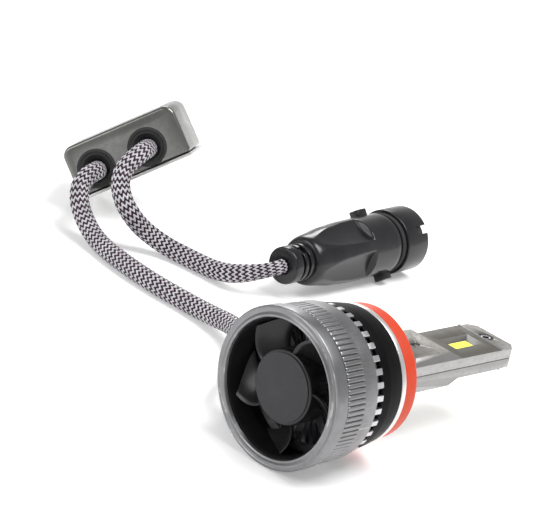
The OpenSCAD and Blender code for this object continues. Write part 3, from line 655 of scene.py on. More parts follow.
def cut(made, tool_parts, place=None):
    """Takes a closed shape out of the piece."""
    mesh = bpy.data.meshes.new("cutter")
    vertices, faces, _ = joined([with_finish(part) for part in tool_parts])
    mesh.from_pydata(vertices, [], faces)
    shell = bmesh.new()
    shell.from_mesh(mesh)
    bmesh.ops.recalc_face_normals(shell, faces=shell.faces)
    shell.to_mesh(mesh)
    shell.free()
    mesh.transform((Matrix.Scale(MM, 4)) @ (place or Matrix.Identity(4)))
    tool = bpy.data.objects.new("cutter", mesh)
    bpy.context.scene.collection.objects.link(tool)
    step = made.modifiers.new("cut", "BOOLEAN")
    step.operation = "DIFFERENCE"
    step.solver = "EXACT"
    step.object = tool
    settle(made)
    bpy.data.objects.remove(tool)


def settle(made):
    """Turns the piece's modifiers into plain mesh."""
    bpy.context.view_layer.update()
    graph = bpy.context.evaluated_depsgraph_get()
    mesh = bpy.data.meshes.new_from_object(made.evaluated_get(graph))
    made.modifiers.clear()
    made.data = mesh


def rounded(outline, steps=4):
    """An outline of (x, r, radius) corners, each radius turned into an arc."""
    out = []
    count = len(outline)
    for i, (x, r, size) in enumerate(outline):
        here = Vector((x, r))
        before = Vector(outline[i - 1][:2]) - here
        after = Vector(outline[(i + 1) % count][:2]) - here
        if size <= 0 or before.length < 1e-6 or after.length < 1e-6:
            out.append((x, r))
            continue
        turn = before.angle(after)
        if turn > math.pi - 0.02:
            out.append((x, r))
            continue
        back = min(size / math.tan(turn / 2), 0.48 * before.length, 0.48 * after.length)
        a = here + before.normalized() * back
        b = here + after.normalized() * back
        for k in range(steps + 1):
            t = k / steps
            point = a * (1 - t) ** 2 + here * 2 * t * (1 - t) + b * t ** 2
            out.append((point.x, point.y))
    return out


def lathe(outline, count=160, finish=0, inner=None):
    """A closed outline of (x, r) turned about X; inner picks the finish of a face by its place."""
    vertices, rings = [], []
    for x, r in outline:
        if r < 1e-6:
            rings.append([len(vertices)])
            vertices.append((x, 0, 0))
        else:
            rings.append(list(range(len(vertices), len(vertices) + count)))
            vertices += [(x, r * math.cos(2 * math.pi * k / count),
                          r * math.sin(2 * math.pi * k / count)) for k in range(count)]
    faces, marks = [], []
    for i, ring in enumerate(rings):
        other = rings[(i + 1) % len(rings)]
        if len(ring) == 1 and len(other) == 1:
            continue
        x = (outline[i][0] + outline[(i + 1) % len(rings)][0]) / 2
        r = (outline[i][1] + outline[(i + 1) % len(rings)][1]) / 2
        for k in range(count):
            n = (k + 1) % count
            corners = ([ring[k % len(ring)]] + ([ring[n]] if len(ring) > 1 else [])
                       + ([other[n]] if len(other) > 1 else []) + [other[k % len(other)]])
            faces.append(corners)
            marks.append(inner(x, r) if inner else finish)
    return vertices, faces, marks


def prism(outline, start, end, axis="x"):
    """A flat outline pushed from start to end along an axis."""
    def put(a, b, c):
        return {"x": (c, a, b), "y": (a, c, b), "z": (a, b, c)}[axis]
    count = len(outline)
    vertices = [put(a, b, start) for a, b in outline] + [put(a, b, end) for a, b in outline]
    faces = [[i, (i + 1) % count, count + (i + 1) % count, count + i] for i in range(count)]
    faces += [list(range(count)), list(range(count, 2 * count))]
    return vertices, faces


def block(corner, size):
    """A plain block from its lowest corner."""
    x, y, z = corner
    return prism([(x, y), (x + size[0], y), (x + size[0], y + size[1]), (x, y + size[1])],
                 z, z + size[2], "z")


def with_finish(shape, finish=0):
    """A shape with the finish that all its faces take."""
    return shape[0], shape[1], finish


def disc_outline(x, y, r, count=48):
    """The outline of a disc as a ring of points."""
    return [(x + r * math.cos(2 * math.pi * k / count),
             y + r * math.sin(2 * math.pi * k / count)) for k in range(count)]


def smooth_step(t):
    """Nought to one, with a soft start and end."""
    t = min(max(t, 0.0), 1.0)
    return t * t * (3 - 2 * t)


def in_mm(value):
    """A length of the settings, in millimetres."""
    return value / MM


# ---------- camera, light and floor ----------


class HEADLIGHT_OT_stage(bpy.types.Operator):
    """Adds the camera, the pale floor and soft studio light"""

    bl_idname = "headlight.stage"
    bl_label = "Stage"

    camera_place = (-0.5280, -0.4216, 0.2754)
    camera_ahead = (0.7117, 0.61, -0.3486)
    camera_right = (0.6934, -0.6895, 0.2092)
    focal_mm = 192.857
    floor_half = 6.0
    # the floor lies just under the object, so that the two don't flicker into each other
    floor_drop = 0.0001

    def execute(self, context):
        scene = context.scene
        lens = bpy.data.cameras.new("camera")
        lens.lens = self.focal_mm
        lens.sensor_width = 36.0
        lens.sensor_fit = "HORIZONTAL"
        lens.clip_end = 20
        camera = bpy.data.objects.new("camera", lens)
        right = Vector(self.camera_right).normalized()
        ahead = Vector(self.camera_ahead).normalized()
        up = right.cross(ahead).normalized()
        right = ahead.cross(up).normalized()
        turn = Matrix((right, up, -ahead)).transposed().to_4x4()
        camera.matrix_world = Matrix.Translation(self.camera_place) @ turn
        scene.collection.objects.link(camera)
        scene.camera = camera
        self.add_floor(scene)
        self.add_lights(scene)
        scene.view_settings.view_transform = "Standard"
        scene.view_settings.look = "None"
        return {"FINISHED"}

    def add_floor(self, scene):
        """A plain pale floor."""
        size = self.floor_half
        mesh = bpy.data.meshes.new("floor")
        z = FLOOR_Z * MM - self.floor_drop
        mesh.from_pydata([(-size, -size, z), (size, -size, z), (size, size, z), (-size, size, z)],
                         [], [(0, 1, 2, 3)])
        mesh.materials.append(material("pale_floor", (0.93, 0.93, 0.93), (0.9, 0.9, 0.9), 0.7,
                                       grain=30, bump=0.02, dust=0.0, specular=0.1, glow=0.25))
        floor = bpy.data.objects.new("floor", mesh)
        scene.collection.objects.link(floor)

    def add_lights(self, scene):
        """A soft key light, two fills and a pale sky that darkens overhead."""
        target = Vector((0.02, 0.06, 0.0))
        power = settings().look.key_power
        lamps = [
            ("key", (0.15, -0.25, 0.85), 0.55, power),
            ("left_fill", (-0.75, 0.35, 0.45), 0.5, 0.35 * power),
            ("back_strip", (0.55, 0.75, 0.5), 0.35, 0.35 * power),
        ]
        for name, spot, size, watts in lamps:
            light = bpy.data.lights.new(name, "AREA")
            light.shape = "SQUARE"
            light.size = size
            light.energy = watts
            lamp = bpy.data.objects.new(name, light)
            lamp.location = spot
            lamp.rotation_euler = (target - Vector(spot)).to_track_quat("-Z", "Y").to_euler()
            scene.collection.objects.link(lamp)
        world = bpy.data.worlds.new("studio")
        world.use_nodes = True
        tree = world.node_tree
        sky = tree.nodes["Background"]
        place = add(tree, "ShaderNodeTexCoord")
        split = add(tree, "ShaderNodeSeparateXYZ")
        ramp = add(tree, "ShaderNodeMapRange",
                   {"From Min": 0.0, "From Max": 0.7, "To Min": 1.0, "To Max": 0.36})
        tree.links.new(place.outputs["Generated"], split.inputs[0])
        tree.links.new(split.outputs["Z"], ramp.inputs["Value"])
        tree.links.new(ramp.outputs[0], sky.inputs["Color"])
        sky.inputs["Strength"].default_value = 0.9
        scene.world = world


# ---------- cords ----------


def smooth_route(route, step):
    """A smooth curve through the route's points, in even steps, all in millimetres."""
    points = [Vector(p) / MM for p in route]
    points = [points[0] * 2 - points[1]] + points + [points[-1] * 2 - points[-2]]
    fine = []
    for i in range(1, len(points) - 2):
        p0, p1, p2, p3 = points[i - 1:i + 3]
        for k in range(24):
            t = k / 24
            fine.append(0.5 * (2 * p1 + (p2 - p0) * t + (2 * p0 - 5 * p1 + 4 * p2 - p3) * t * t
                               + (3 * p1 - p0 - 3 * p2 + p3) * t ** 3))
    fine.append(points[-2])
    total = sum((b - a).length for a, b in zip(fine, fine[1:]))
    count = max(int(total / step), 2)
    even, spent, target = [fine[0].copy()], 0.0, total / count
    for a, b in zip(fine, fine[1:]):
        span = (b - a).length
        while spent + span >= target - 1e-9 and len(even) < count:
            even.append(a.lerp(b, (target - spent) / span))
            target += total / count
        spent += span
    even.append(fine[-1].copy())
    return even, total


def moving_frames(line):
    """The direction and two side vectors at each point, turning as little as they can."""
    frames = []
    side = None
    for i in range(len(line)):
        ahead = (line[min(i + 1, len(line) - 1)] - line[max(i - 1, 0)]).normalized()
        if side is None:
            side = ahead.orthogonal().normalized()
        side = (side - ahead * side.dot(ahead)).normalized()
        frames.append((ahead, side, ahead.cross(side)))
    return frames


def tube(line, frames, radius_at, count):
    """A round tube along a line, closed at both ends."""
    vertices = []
    for i, (_, side, over) in enumerate(frames):
        r = radius_at(i / (len(line) - 1))
        for k in range(count):
            a = 2 * math.pi * k / count
            vertices.append(line[i] + r * (math.cos(a) * side + math.sin(a) * over))
    faces = []
    for i in range(len(line) - 1):
        for k in range(count):
            n = (k + 1) % count
            faces.append([i * count + k, i * count + n, (i + 1) * count + n, (i + 1) * count + k])
    faces.append(list(range(count)))
    faces.append(list(range((len(line) - 1) * count, len(line) * count)))
    return vertices, faces


def braided_cord(name, route, replaced, squeeze):
    """A core tube with flat carriers woven two over, two under; squeeze scales its radius."""
    cord = settings().cord
    outer = in_mm(cord.diameter) / 2
    count = cord.carriers
    lead = in_mm(cord.lead)
    step = lead / count / 3
    line, total = smooth_route(route, step)
    frames = moving_frames(line)
    core_r, mid_r = outer - 0.42, outer - 0.24
    lift, thick, buried = 0.11, 0.13, 0.05
    cover = 0.92
    parts = [(*tube(line, frames, lambda t: core_r * squeeze(t), 32), 0)]
    pitch = 2 * math.pi * outer / count
    half_w = cover / 2 * pitch * math.cos(math.atan(2 * math.pi * outer / lead))
    for way in (1, -1):
        for k in range(count):
            vertices = []
            for i, (ahead, side, over) in enumerate(frames):
                s = i * total / (len(line) - 1)
                angle = 2 * math.pi * (k / count + way * s / lead)
                sum_phase = 2 * k + way * 2 * count * s / lead
                height = way * lift * math.cos(math.pi / 2 * sum_phase + math.pi / 4)
                shrink = squeeze(s / total)
                out = math.cos(angle) * side + math.sin(angle) * over
                round_way = -math.sin(angle) * side + math.cos(angle) * over
                r = mid_r * shrink
                run = (ahead + round_way * (way * 2 * math.pi * r / lead)).normalized()
                across = out.cross(run).normalized()
                centre = line[i] + out * (r + height)
                w = half_w * shrink
                vertices += [centre - across * w - out * buried,
                             centre - across * w * 0.5 + out * thick,
                             centre + across * w * 0.5 + out * thick,
                             centre + across * w - out * buried]
            faces = []
            for i in range(len(frames) - 1):
                for j in range(4):
                    n = (j + 1) % 4
                    faces.append([4 * i + j, 4 * i + n, 4 * i + 4 + n, 4 * i + 4 + j])
            faces.append([0, 1, 2, 3])
            last = 4 * (len(frames) - 1)
            faces.append([last, last + 1, last + 2, last + 3])
            parts.append((vertices, faces, 1 if k % 2 else 2))
    made = piece(name, parts, [braid_black(), braid_white(), braid_black()], replaced,
                 smooth=50)
    return made, line, total


class HEADLIGHT_OT_cords(bpy.types.Operator):
    """Braids the two cords along their routes"""

    bl_idname = "headlight.cords"
    bl_label = "Braided cords"

    def execute(self, context):
        braided_cord("bulb_cord_braid", BULB_ROUTE, ["bulb_cord"], lambda t: 1.0)
        braided_cord("plug_cord_braid", PLUG_ROUTE, ["plug_cord"],
                     lambda t: 1.0 - 0.3 * smooth_step((t - 0.8) / 0.18))
        return {"FINISHED"}


def declare_cords():
    """Works out the lengths of the two cords along their routes, and does nothing with them."""
    _, bulb_len = smooth_route(BULB_ROUTE, 1.0)
    _, plug_len = smooth_route(PLUG_ROUTE, 1.0)


# ---------- housing ----------


class HEADLIGHT_OT_rear_ring(bpy.types.Operator):
    """Turns the rear ring, with its lip, groove and rounded shoulder"""

    bl_idname = "headlight.rear_ring"
    bl_label = "Rear ring"

    def execute(self, context):
        r_open = in_mm(settings().housing.opening_d) / 2
        r_spigot = bore_radius() - SEAT_FIT
        spigot_len = 3
        r = HOUSING_R
        x = X_REAR
        outline = rounded([
            (x + 0.9, r_open, 0.2), (x + 0.2, r_open + 0.25, 0.35), (x + 0.0, r_open + 0.75, 0.3),
            (x + 0.3, r_open + 1.05, 0.2), (x + 0.62, r_open + 1.45, 0.2),
            (x + 0.5, r - 0.95, 0.3), (x + 0.32, r - 0.6, 0.3),
            (x + 0.55, r, 0.45), (X_RING - 0.3, r, 0.35), (X_RING, r - 0.5, 0.15),
            (X_RING, r_spigot, 0), (X_RING + spigot_len, r_spigot, 0),
            (X_RING + spigot_len, r_open - 0.55, 0.2), (x + 1.6, r_open - 0.3, 0.2)])
        # the inner wall behind the lip takes the bore's painted shade
        shape = lathe(outline, 192,
                      inner=lambda px, pr: 1 if pr < r_open + 0.1 and px > x + 1.2 else 0)
        piece("rear_ring_turned", [shape], [housing_grey(), bore_painted_shade()],
              ["rear_ring"], smooth=50)
        return {"FINISHED"}


class HEADLIGHT_OT_barrel(bpy.types.Operator):
    """Makes the barrel, with rounded grip ribs and a plain band"""

    bl_idname = "headlight.barrel"
    bl_label = "Ribbed barrel"

    def execute(self, context):
        housing = settings().housing
        count = housing.rib_count
        depth = in_mm(housing.rib_depth)
        per_rib = 10
        around = count * per_rib
        bore = bore_radius()
        groove = RIB_R - depth
        band = HOUSING_R - 0.6
        x_band = X_RIB + in_mm(housing.rib_len)

        def rib(k):
            """The height of a rib, with a rounded groove between it and the next."""
            t = (k % per_rib) / per_rib
            return depth * (1 - math.exp(-((t - 0.5) / 0.13) ** 2))

        rows = [(X_RIB + 0.02, lambda k: groove - 0.25), (X_RIB, lambda k: groove),
                (X_RIB + 0.05, lambda k: groove + 0.55 * rib(k)),
                (X_RIB + 0.22, lambda k: groove + 0.93 * rib(k)),
                (X_RIB + 0.5, lambda k: groove + rib(k)),
                (x_band - 0.5, lambda k: groove + rib(k)),
                (x_band - 0.2, lambda k: groove + 0.9 * rib(k)),
                (x_band - 0.04, lambda k: band - 0.12), (x_band + 0.1, lambda k: band),
                (X_SLOT - 0.25, lambda k: band), (X_SLOT - 0.07, lambda k: band - 0.06),
                (X_SLOT, lambda k: band - 0.25), (X_SLOT, lambda k: bore),
                (X_RIB + 0.02, lambda k: bore)]
        vertices = []
        for x, radius in rows:
            for k in range(around):
                a = 2 * math.pi * k / around
                r = radius(k)
                vertices.append((x, r * math.cos(a), r * math.sin(a)))
        # the last two rows, inside the bore, take the bore's painted shade
        faces, marks = [], []
        for i in range(len(rows)):
            j = (i + 1) % len(rows)
            for k in range(around):
                n = (k + 1) % around
                faces.append([i * around + k, i * around + n, j * around + n, j * around + k])
                marks.append(1 if i >= len(rows) - 2 else 0)
        piece("barrel_ribbed", [(vertices, faces, marks)], [housing_grey(), bore_painted_shade()],
              ["barrel"], smooth=40)
        return {"FINISHED"}


class HEADLIGHT_OT_heat_sink(bpy.types.Operator):
    """Makes the finned heat sink behind the collar"""

    bl_idname = "headlight.heat_sink"
    bl_label = "Heat sink"

    def execute(self, context):
        housing = settings().housing
        half_core, half_edge = in_mm(housing.fin_t) / 2, in_mm(housing.fin_edge_t) / 2
        core = in_mm(housing.core_d) / 2
        boss = in_mm(housing.boss_d) / 2
        inside = X_SLOT - low("heat_sink").x
        r_in = bore_radius() - SEAT_FIT
        buried = 1.5
        disc_t = 1.6
        parts = []
        profile = rounded([
            (X_SLOT - inside, core - buried, 0), (X_SLOT - inside, r_in, 0.2),
            (X_SLOT, r_in, 0.05), (X_SLOT + 0.05, TOOTH_R, 0.15), (X_COLLAR + 0.1, TOOTH_R, 0.15),
            (X_COLLAR + 0.1, core - buried, 0)], 3)
        inset = 0.12

        def half_at(r):
            """Half the fin's thickness, which grows towards its outer edge."""
            return half_core + (half_edge - half_core) * min(max((r - core) / (TOOTH_R - core), 0), 1)

        for i in range(housing.fin_count):
            turn = Matrix.Rotation(2 * math.pi * i / housing.fin_count, 3, "X")
            count = len(profile)
            vertices = []
            for side, flat in ((-1, True), (-1, False), (1, False), (1, True)):
                for x, r in profile:
                    y = side * (half_at(r) - (0 if flat else inset))
                    drop = inset if flat and r > core else 0
                    vertices.append(turn @ Vector((x, y, r - drop)))
            faces = []
            for a, b in ((0, 1), (1, 2), (2, 3)):
                for k in range(count):
                    n = (k + 1) % count
                    faces.append([a * count + k, a * count + n, b * count + n, b * count + k])
            faces.append([k for k in range(count)])
            faces.append([3 * count + k for k in range(count)])
            parts.append((vertices, faces, 0))
        x_face = -0.5
        parts.append(lathe(rounded([
            (X_SLOT - inside + 0.1, 0, 0), (X_SLOT - inside + 0.1, core, 0.4), (X_COLLAR, core, 0.3),
            (X_COLLAR, r_in, 0.1), (X_COLLAR + disc_t, r_in, 0.1), (X_COLLAR + disc_t, boss, 0.1),
            (x_face, boss, 0.2), (x_face, 0, 0)]), 120))
        piece("heat_sink_fins", parts, [bare_aluminium()], ["heat_sink"], smooth=30)
        return {"FINISHED"}


class HEADLIGHT_OT_collar(bpy.types.Operator):
    """Turns the black collar, the silver flange and the seal ring"""

    bl_idname = "headlight.collar"
    bl_label = "Collar, flange and seal"

    def execute(self, context):
        housing = settings().housing
        boss = in_mm(housing.boss_d) / 2
        neck = in_mm(housing.neck_d) / 2
        r_front = FLANGE_R
        back = COLLAR_R
        bore = bore_radius()
        x_step = X_COLLAR + 1.66
        collar = rounded([
            (X_COLLAR, bore, 0), (X_COLLAR, back - 0.05, 0.35), (X_COLLAR + 3.2, back - 0.1, 1.5),
            (X_COLLAR + 5.6, (back + r_front) / 2, 1.5), (X_FLANGE - 0.25, r_front, 0.3),
            (X_FLANGE - 0.02, r_front - 0.35, 0.1), (X_FLANGE - 0.02, boss + 0.06, 0),
            (x_step, boss + 0.06, 0), (x_step, bore, 0)])
        piece("collar_turned", [lathe(collar, 160)], [black_anodised()], ["collar"])
        flange = rounded([
            (X_FLANGE, boss + 0.06, 0), (X_FLANGE, r_front - 0.05, 0.3), (0, r_front - 0.02, 0.3),
            (0, neck, 0.1), (X_NECK, neck, 0.45), (X_NECK, 0, 0), (X_NECK - 1.5, 0, 0),
            (X_NECK - 1.5, boss - 1, 0), (-0.4, boss - 1, 0), (-0.4, boss + 0.06, 0)])
        piece("mount_flange_turned", [lathe(flange, 160)], [flange_silver()],
              ["mount_flange"])
        seal = rounded([
            (0.02, neck + 0.06, 0), (0.02, SEAL_R, 1.0), (SEAL_W * 0.5, SEAL_R - 0.02, 0.2),
            (SEAL_W, SEAL_R, 1.5), (SEAL_W, neck + 0.06, 0.1)], 7)
        piece("seal_ring_moulded", [lathe(seal, 160)], [seal_orange()], ["seal_ring"])
        return {"FINISHED"}


# ---------- stem ----------


class HEADLIGHT_OT_stem(bpy.types.Operator):
    """Makes the two halves of the stem, their light sources and the tip screws"""

    bl_idname = "headlight.stem"
    bl_label = "Stem"

    def execute(self, context):
        for name, nodes, flip in (("top", ["stem_top"], 0), ("bottom", ["stem_bottom"], math.pi)):
            turn = Matrix.Rotation(flip, 4, "X")
            self.half(name, nodes, turn)
            self.light(name, turn)
        self.screws()
        return {"FINISHED"}

    # the core plate's half thickness, and how far it stays from the stem's sides and tip
    plate_half, plate_side, plate_tip = 0.9, 1.5, 2.4
    light_t = 0.6

    def half(self, name, nodes, turn):
        """One half of the stem, with its ramp, ridge, window, slot and screw seats."""
        stem = settings().stem
        half = in_mm(stem.half_t)
        root, ramp = in_mm(stem.root_len), in_mm(stem.root_ramp)
        x_ridge = X_TIP - in_mm(stem.ridge_back)
        w = STEM_W / 2
        seam = 0.12
        side = rounded([
            (X_ROOT, seam, 0), (X_TIP, seam, 0.05), (X_TIP, half - 0.15, 0.3),
            (x_ridge + 0.7, half - 0.12, 0.1), (x_ridge + 0.4, half + 0.24, 0.15),
            (x_ridge - 0.05, half + 0.24, 0.15), (x_ridge - 0.35, half - 0.02, 0.1),
            (root + ramp, half, 1.2), (root, HALF_ROOT, 1.2), (X_ROOT, HALF_ROOT, 0)], 4)
        made = piece("stem_" + name + "_half", [with_finish(prism(side, -w, w, "y"))],
                     [stem_face(), stem_side()], nodes, turn, smooth=30)
        c = in_mm(stem.tip_chamfer)
        for s in (-1, 1):
            corner = [(X_TIP - c, s * w), (X_TIP, s * (w - c)), (X_TIP + 4, s * (w - c)),
                      (X_TIP + 4, s * (w + 4)), (X_TIP - c, s * (w + 4))]
            cut(made, [prism(corner, -1, half + 3, "z")], turn)
        slope = [(1.9 - w, HALF_ROOT + 0.05), (-0.4 - w, half - 0.3), (-0.4 - w, 9), (1.9 - w, 9)]
        cut(made, [prism(slope, X_NECK + 0.2, root + ramp + 0.4, "x")], turn)
        pocket = (X_TIP - self.plate_tip - X_ROOT + 1, 2 * w - 2 * self.plate_side,
                  1 + self.plate_half + 0.05)
        cut(made, [block((X_ROOT - 1, -w + self.plate_side, -1), pocket)], turn)
        self.window(made, turn)
        x_screw = X_TIP - in_mm(stem.screw_back)
        cut(made, [prism(disc_outline(x_screw, 0, in_mm(stem.screw_d) / 2 + 0.05), half - 1.25,
                         half + 2, "z")], turn)
        x_slot, y_slot, slot_r = root - in_mm(stem.slot_back), 0.3, 0.9
        slot = [(x_slot + end * 0.8 + slot_r * math.cos(a), y_slot + slot_r * math.sin(a))
                for end, first in ((-1, math.pi / 2), (1, -math.pi / 2))
                for a in [first + math.pi * k / 12 for k in range(13)]]
        cut(made, [prism(slot, self.plate_half, HALF_ROOT + 2, "z")], turn)
        for s in (-1, 1):
            seat = disc_outline(root - in_mm(stem.root_screw_back), s * (w - 2.4), 1.55)
            cut(made, [prism(seat, HALF_ROOT - 1.6, HALF_ROOT + 2, "z")], turn)
        bevel(made, 0.14, 2, 35)
        settle(made)
        soften(made, 30)
        for face in made.data.polygons:
            spot = face.center / MM
            on_ridge = abs(spot.x - x_ridge) < 0.9 and abs(spot.z) > half + 0.05
            face.material_index = 0 if abs(face.normal.z) > 0.8 and not on_ridge else 1

    def window(self, made, turn):
        """Cuts the light window with its sloped walls."""
        stem = settings().stem
        half = in_mm(stem.half_t)
        x = X_TIP - in_mm(stem.window_back)
        l, w = in_mm(stem.window_l) / 2, in_mm(stem.window_w) / 2
        slope = 0.75
        floor_z, top = self.plate_half - 0.02, half + 0.6
        grow = slope * (top - floor_z) / (half - floor_z)
        vertices = []
        for z, more in ((floor_z, -slope), (top, grow - slope)):
            vertices += [(x - l - more, -w - more, z), (x + l + more, -w - more, z),
                         (x + l + more, w + more, z), (x - l - more, w + more, z)]
        faces = [[0, 1, 2, 3], [4, 5, 6, 7], [0, 1, 5, 4], [1, 2, 6, 5], [2, 3, 7, 6], [3, 0, 4, 7]]
        cut(made, [(vertices, faces)], turn)

    def light(self, name, turn):
        """The light source: a pale carrier with the yellow emitter on it, the emitter's glow painted on.
        """
        stem = settings().stem
        x = X_TIP - in_mm(stem.window_back)
        l, w = in_mm(stem.led_l), in_mm(stem.led_w)
        rim = in_mm(stem.led_border)
        base = with_finish(block((x - l / 2, -w / 2, self.plate_half), (l, w, self.light_t)), 1)
        glow = with_finish(block((x - l / 2 + rim, -w / 2 + rim, 1.45),
                                 (l - 2 * rim, w - 2 * rim, 0.2)), 0)
        made = piece("light_source_" + name, [base, glow], [phosphor_painted_glow(), led_carrier()],
                     ["led_" + name], turn, smooth=30)
        bevel(made, 0.06, 2)
        settle(made)

    def screws(self):
        """The two tip screws: a bright metal ring round the socket, with the rim and the socket painted
        dark as painted shade of the countersink and the socket.
        """
        stem = settings().stem
        r = in_mm(stem.screw_d) / 2
        top = in_mm(stem.half_t) - 0.2
        parts = []
        for turn in (Matrix.Identity(3), Matrix.Rotation(math.pi, 3, "X")):
            x = X_TIP - in_mm(stem.screw_back)
            outline = rounded([(top - 1.0, 0, 0), (top - 1.0, r - 0.02, 0), (top - 0.12, r - 0.02, 0.1),
                               (top - 0.05, r - 0.6, 0.15), (top, r - 0.75, 0.15),
                               (top - 0.02, 0.85, 0.08), (top - 0.55, 0.72, 0), (top - 0.6, 0, 0)])
            vertices, faces, _ = lathe(outline, 48)
            stood = [turn @ Vector((x + v[2], v[1], v[0])) for v in vertices]
            # the ring between the socket and the rim is bare metal; the rim and the socket take the
            # painted shade
            marks = []
            for face in faces:
                spot = sum((Vector(vertices[i]) for i in face), Vector()) / len(face)
                radius = math.hypot(spot.y, spot.z)
                marks.append(1 if 0.85 < radius < r - 0.62 else 0)
            parts.append((stood, faces, marks))
        piece("tip_screw_heads", parts, [screw_painted_shade(), bare_aluminium()], ["tip_screws"])


# ---------- fan ----------


class HEADLIGHT_OT_fan(bpy.types.Operator):
    """Makes the fan's rotor with its swept blades, and the disc on its hub"""

    bl_idname = "headlight.fan"
    bl_label = "Fan"

    def execute(self, context):
        fan = settings().fan
        hub = in_mm(fan.hub_d) / 2
        depth = X_HUB_END - X_HUB
        inner = hub - in_mm(fan.hub_wall)
        rotor = rounded([
            (X_HUB + 0.32, 0, 0), (X_HUB + 0.32, hub, 0.6), (X_HUB_END, hub, 0.15),
            (X_HUB_END, inner, 0.1), (X_HUB + 1.3, inner, 0.2), (X_HUB + 1.3, SHAFT_R, 0),
            (X_HUB + 0.8, SHAFT_R, 0), (X_HUB + 0.8, 0, 0)])
        parts = [lathe(rotor, 120)]
        for i in range(fan.blade_count):
            parts.append((*self.blade(hub, depth, fan.first_blade
                                      + 2 * math.pi * i / fan.blade_count), 0))
        piece("fan_rotor_blades", parts, [fan_black()], ["fan_rotor"],
              body="fan", smooth=50)
        disc = rounded([(X_HUB, 0, 0), (X_HUB, hub - 0.75, 0.12), (X_HUB + 0.31, hub - 0.7, 0),
                        (X_HUB + 0.31, 0, 0)])
        piece("hub_disc", [lathe(disc, 120)], [disc_grey()], ["hub_cap"], body="fan")
        return {"FINISHED"}

    def blade(self, hub, depth, first):
        """A curved plate that leans along the axis and sweeps back towards its tip."""
        across, along = 14, 12
        r_in, r_out = hub - 0.3, in_mm(settings().fan.blade_d) / 2
        chord = depth - 1.2
        lean, sweep, full_bow = math.radians(34), math.radians(22), math.radians(5)
        step = 0.01

        def middle(u, v):
            """The blade's middle surface, u from the hub to the tip, v along its chord."""
            r = r_in + (r_out - r_in) * u
            swing = sweep * max(u, 0.0) ** 1.6
            half = lean / 2 + math.radians(2) * u
            bow = full_bow * math.sin(math.pi * v)
            a = first + swing + half * (2 * v - 1) - bow
            return Vector((X_HUB + 0.6 + chord * v, -r * math.sin(a), r * math.cos(a)))

        vertices = []
        for side in (-1, 1):
            for i in range(along + 1):
                for j in range(across + 1):
                    u, v = i / along, j / across
                    du = middle(u + step, v) - middle(u - step, v)
                    dv = middle(u, v + step) - middle(u, v - step)
                    thin = 0.5 * max(1 - abs(2 * v - 1) ** 6, 0.0) ** 0.5 * (1 - 0.25 * u)
                    vertices.append(middle(u, v) + du.cross(dv).normalized() * side * thin)
        row = across + 1
        half = (along + 1) * row
        faces = []
        for s in (0, half):
            for i in range(along):
                for j in range(across):
                    a = s + i * row + j
                    faces.append([a, a + 1, a + row + 1, a + row])
        for i in (0, along):
            for j in range(across):
                a = i * row + j
                faces.append([a, a + 1, half + a + 1, half + a])
        return vertices, faces


class HEADLIGHT_OT_gland(bpy.types.Operator):
    """Turns the rubber gland where the bulb's cord leaves the barrel"""

    bl_idname = "headlight.gland"
    bl_label = "Cord gland"

    def execute(self, context):
        x = (low("bulb_gland").x + high("bulb_gland").x) / 2
        inner, neck_r, end = 17.5, 1.7, 25.9
        out_angle = math.radians(-110)
        rings = [(inner, 0, 0), (inner, neck_r, 0), (RIB_R + 0.1, neck_r, 0), (RIB_R + 0.1, 4.15, 0.2),
                 (RIB_R + 1.0, 4.15, 0.3), (RIB_R + 1.5, 3.6, 0.3)]
        for k in range(3):
            at = RIB_R + 2.0 + 1.3 * k
            rings += [(at, 3.55 - 0.08 * k, 0.1), (at + 0.1, 3.1, 0.1), (at + 0.55, 3.1, 0.1),
                      (at + 0.65, 3.5 - 0.08 * k, 0.1)]
        rings += [(end, 3.2, 0.3), (end, 0, 0)]
        vertices, faces, marks = lathe(rounded(rings), 72)
        out = Matrix.Translation((x, 0, 0)) @ Matrix.Rotation(out_angle, 4, "X")
        stood = [out @ Vector((v[1], v[2], v[0])) for v in vertices]
        piece("bulb_gland_rubber", [(stood, faces, marks)], [rubber_black()],
              ["bulb_gland"])
        return {"FINISHED"}


# ---------- driver box ----------


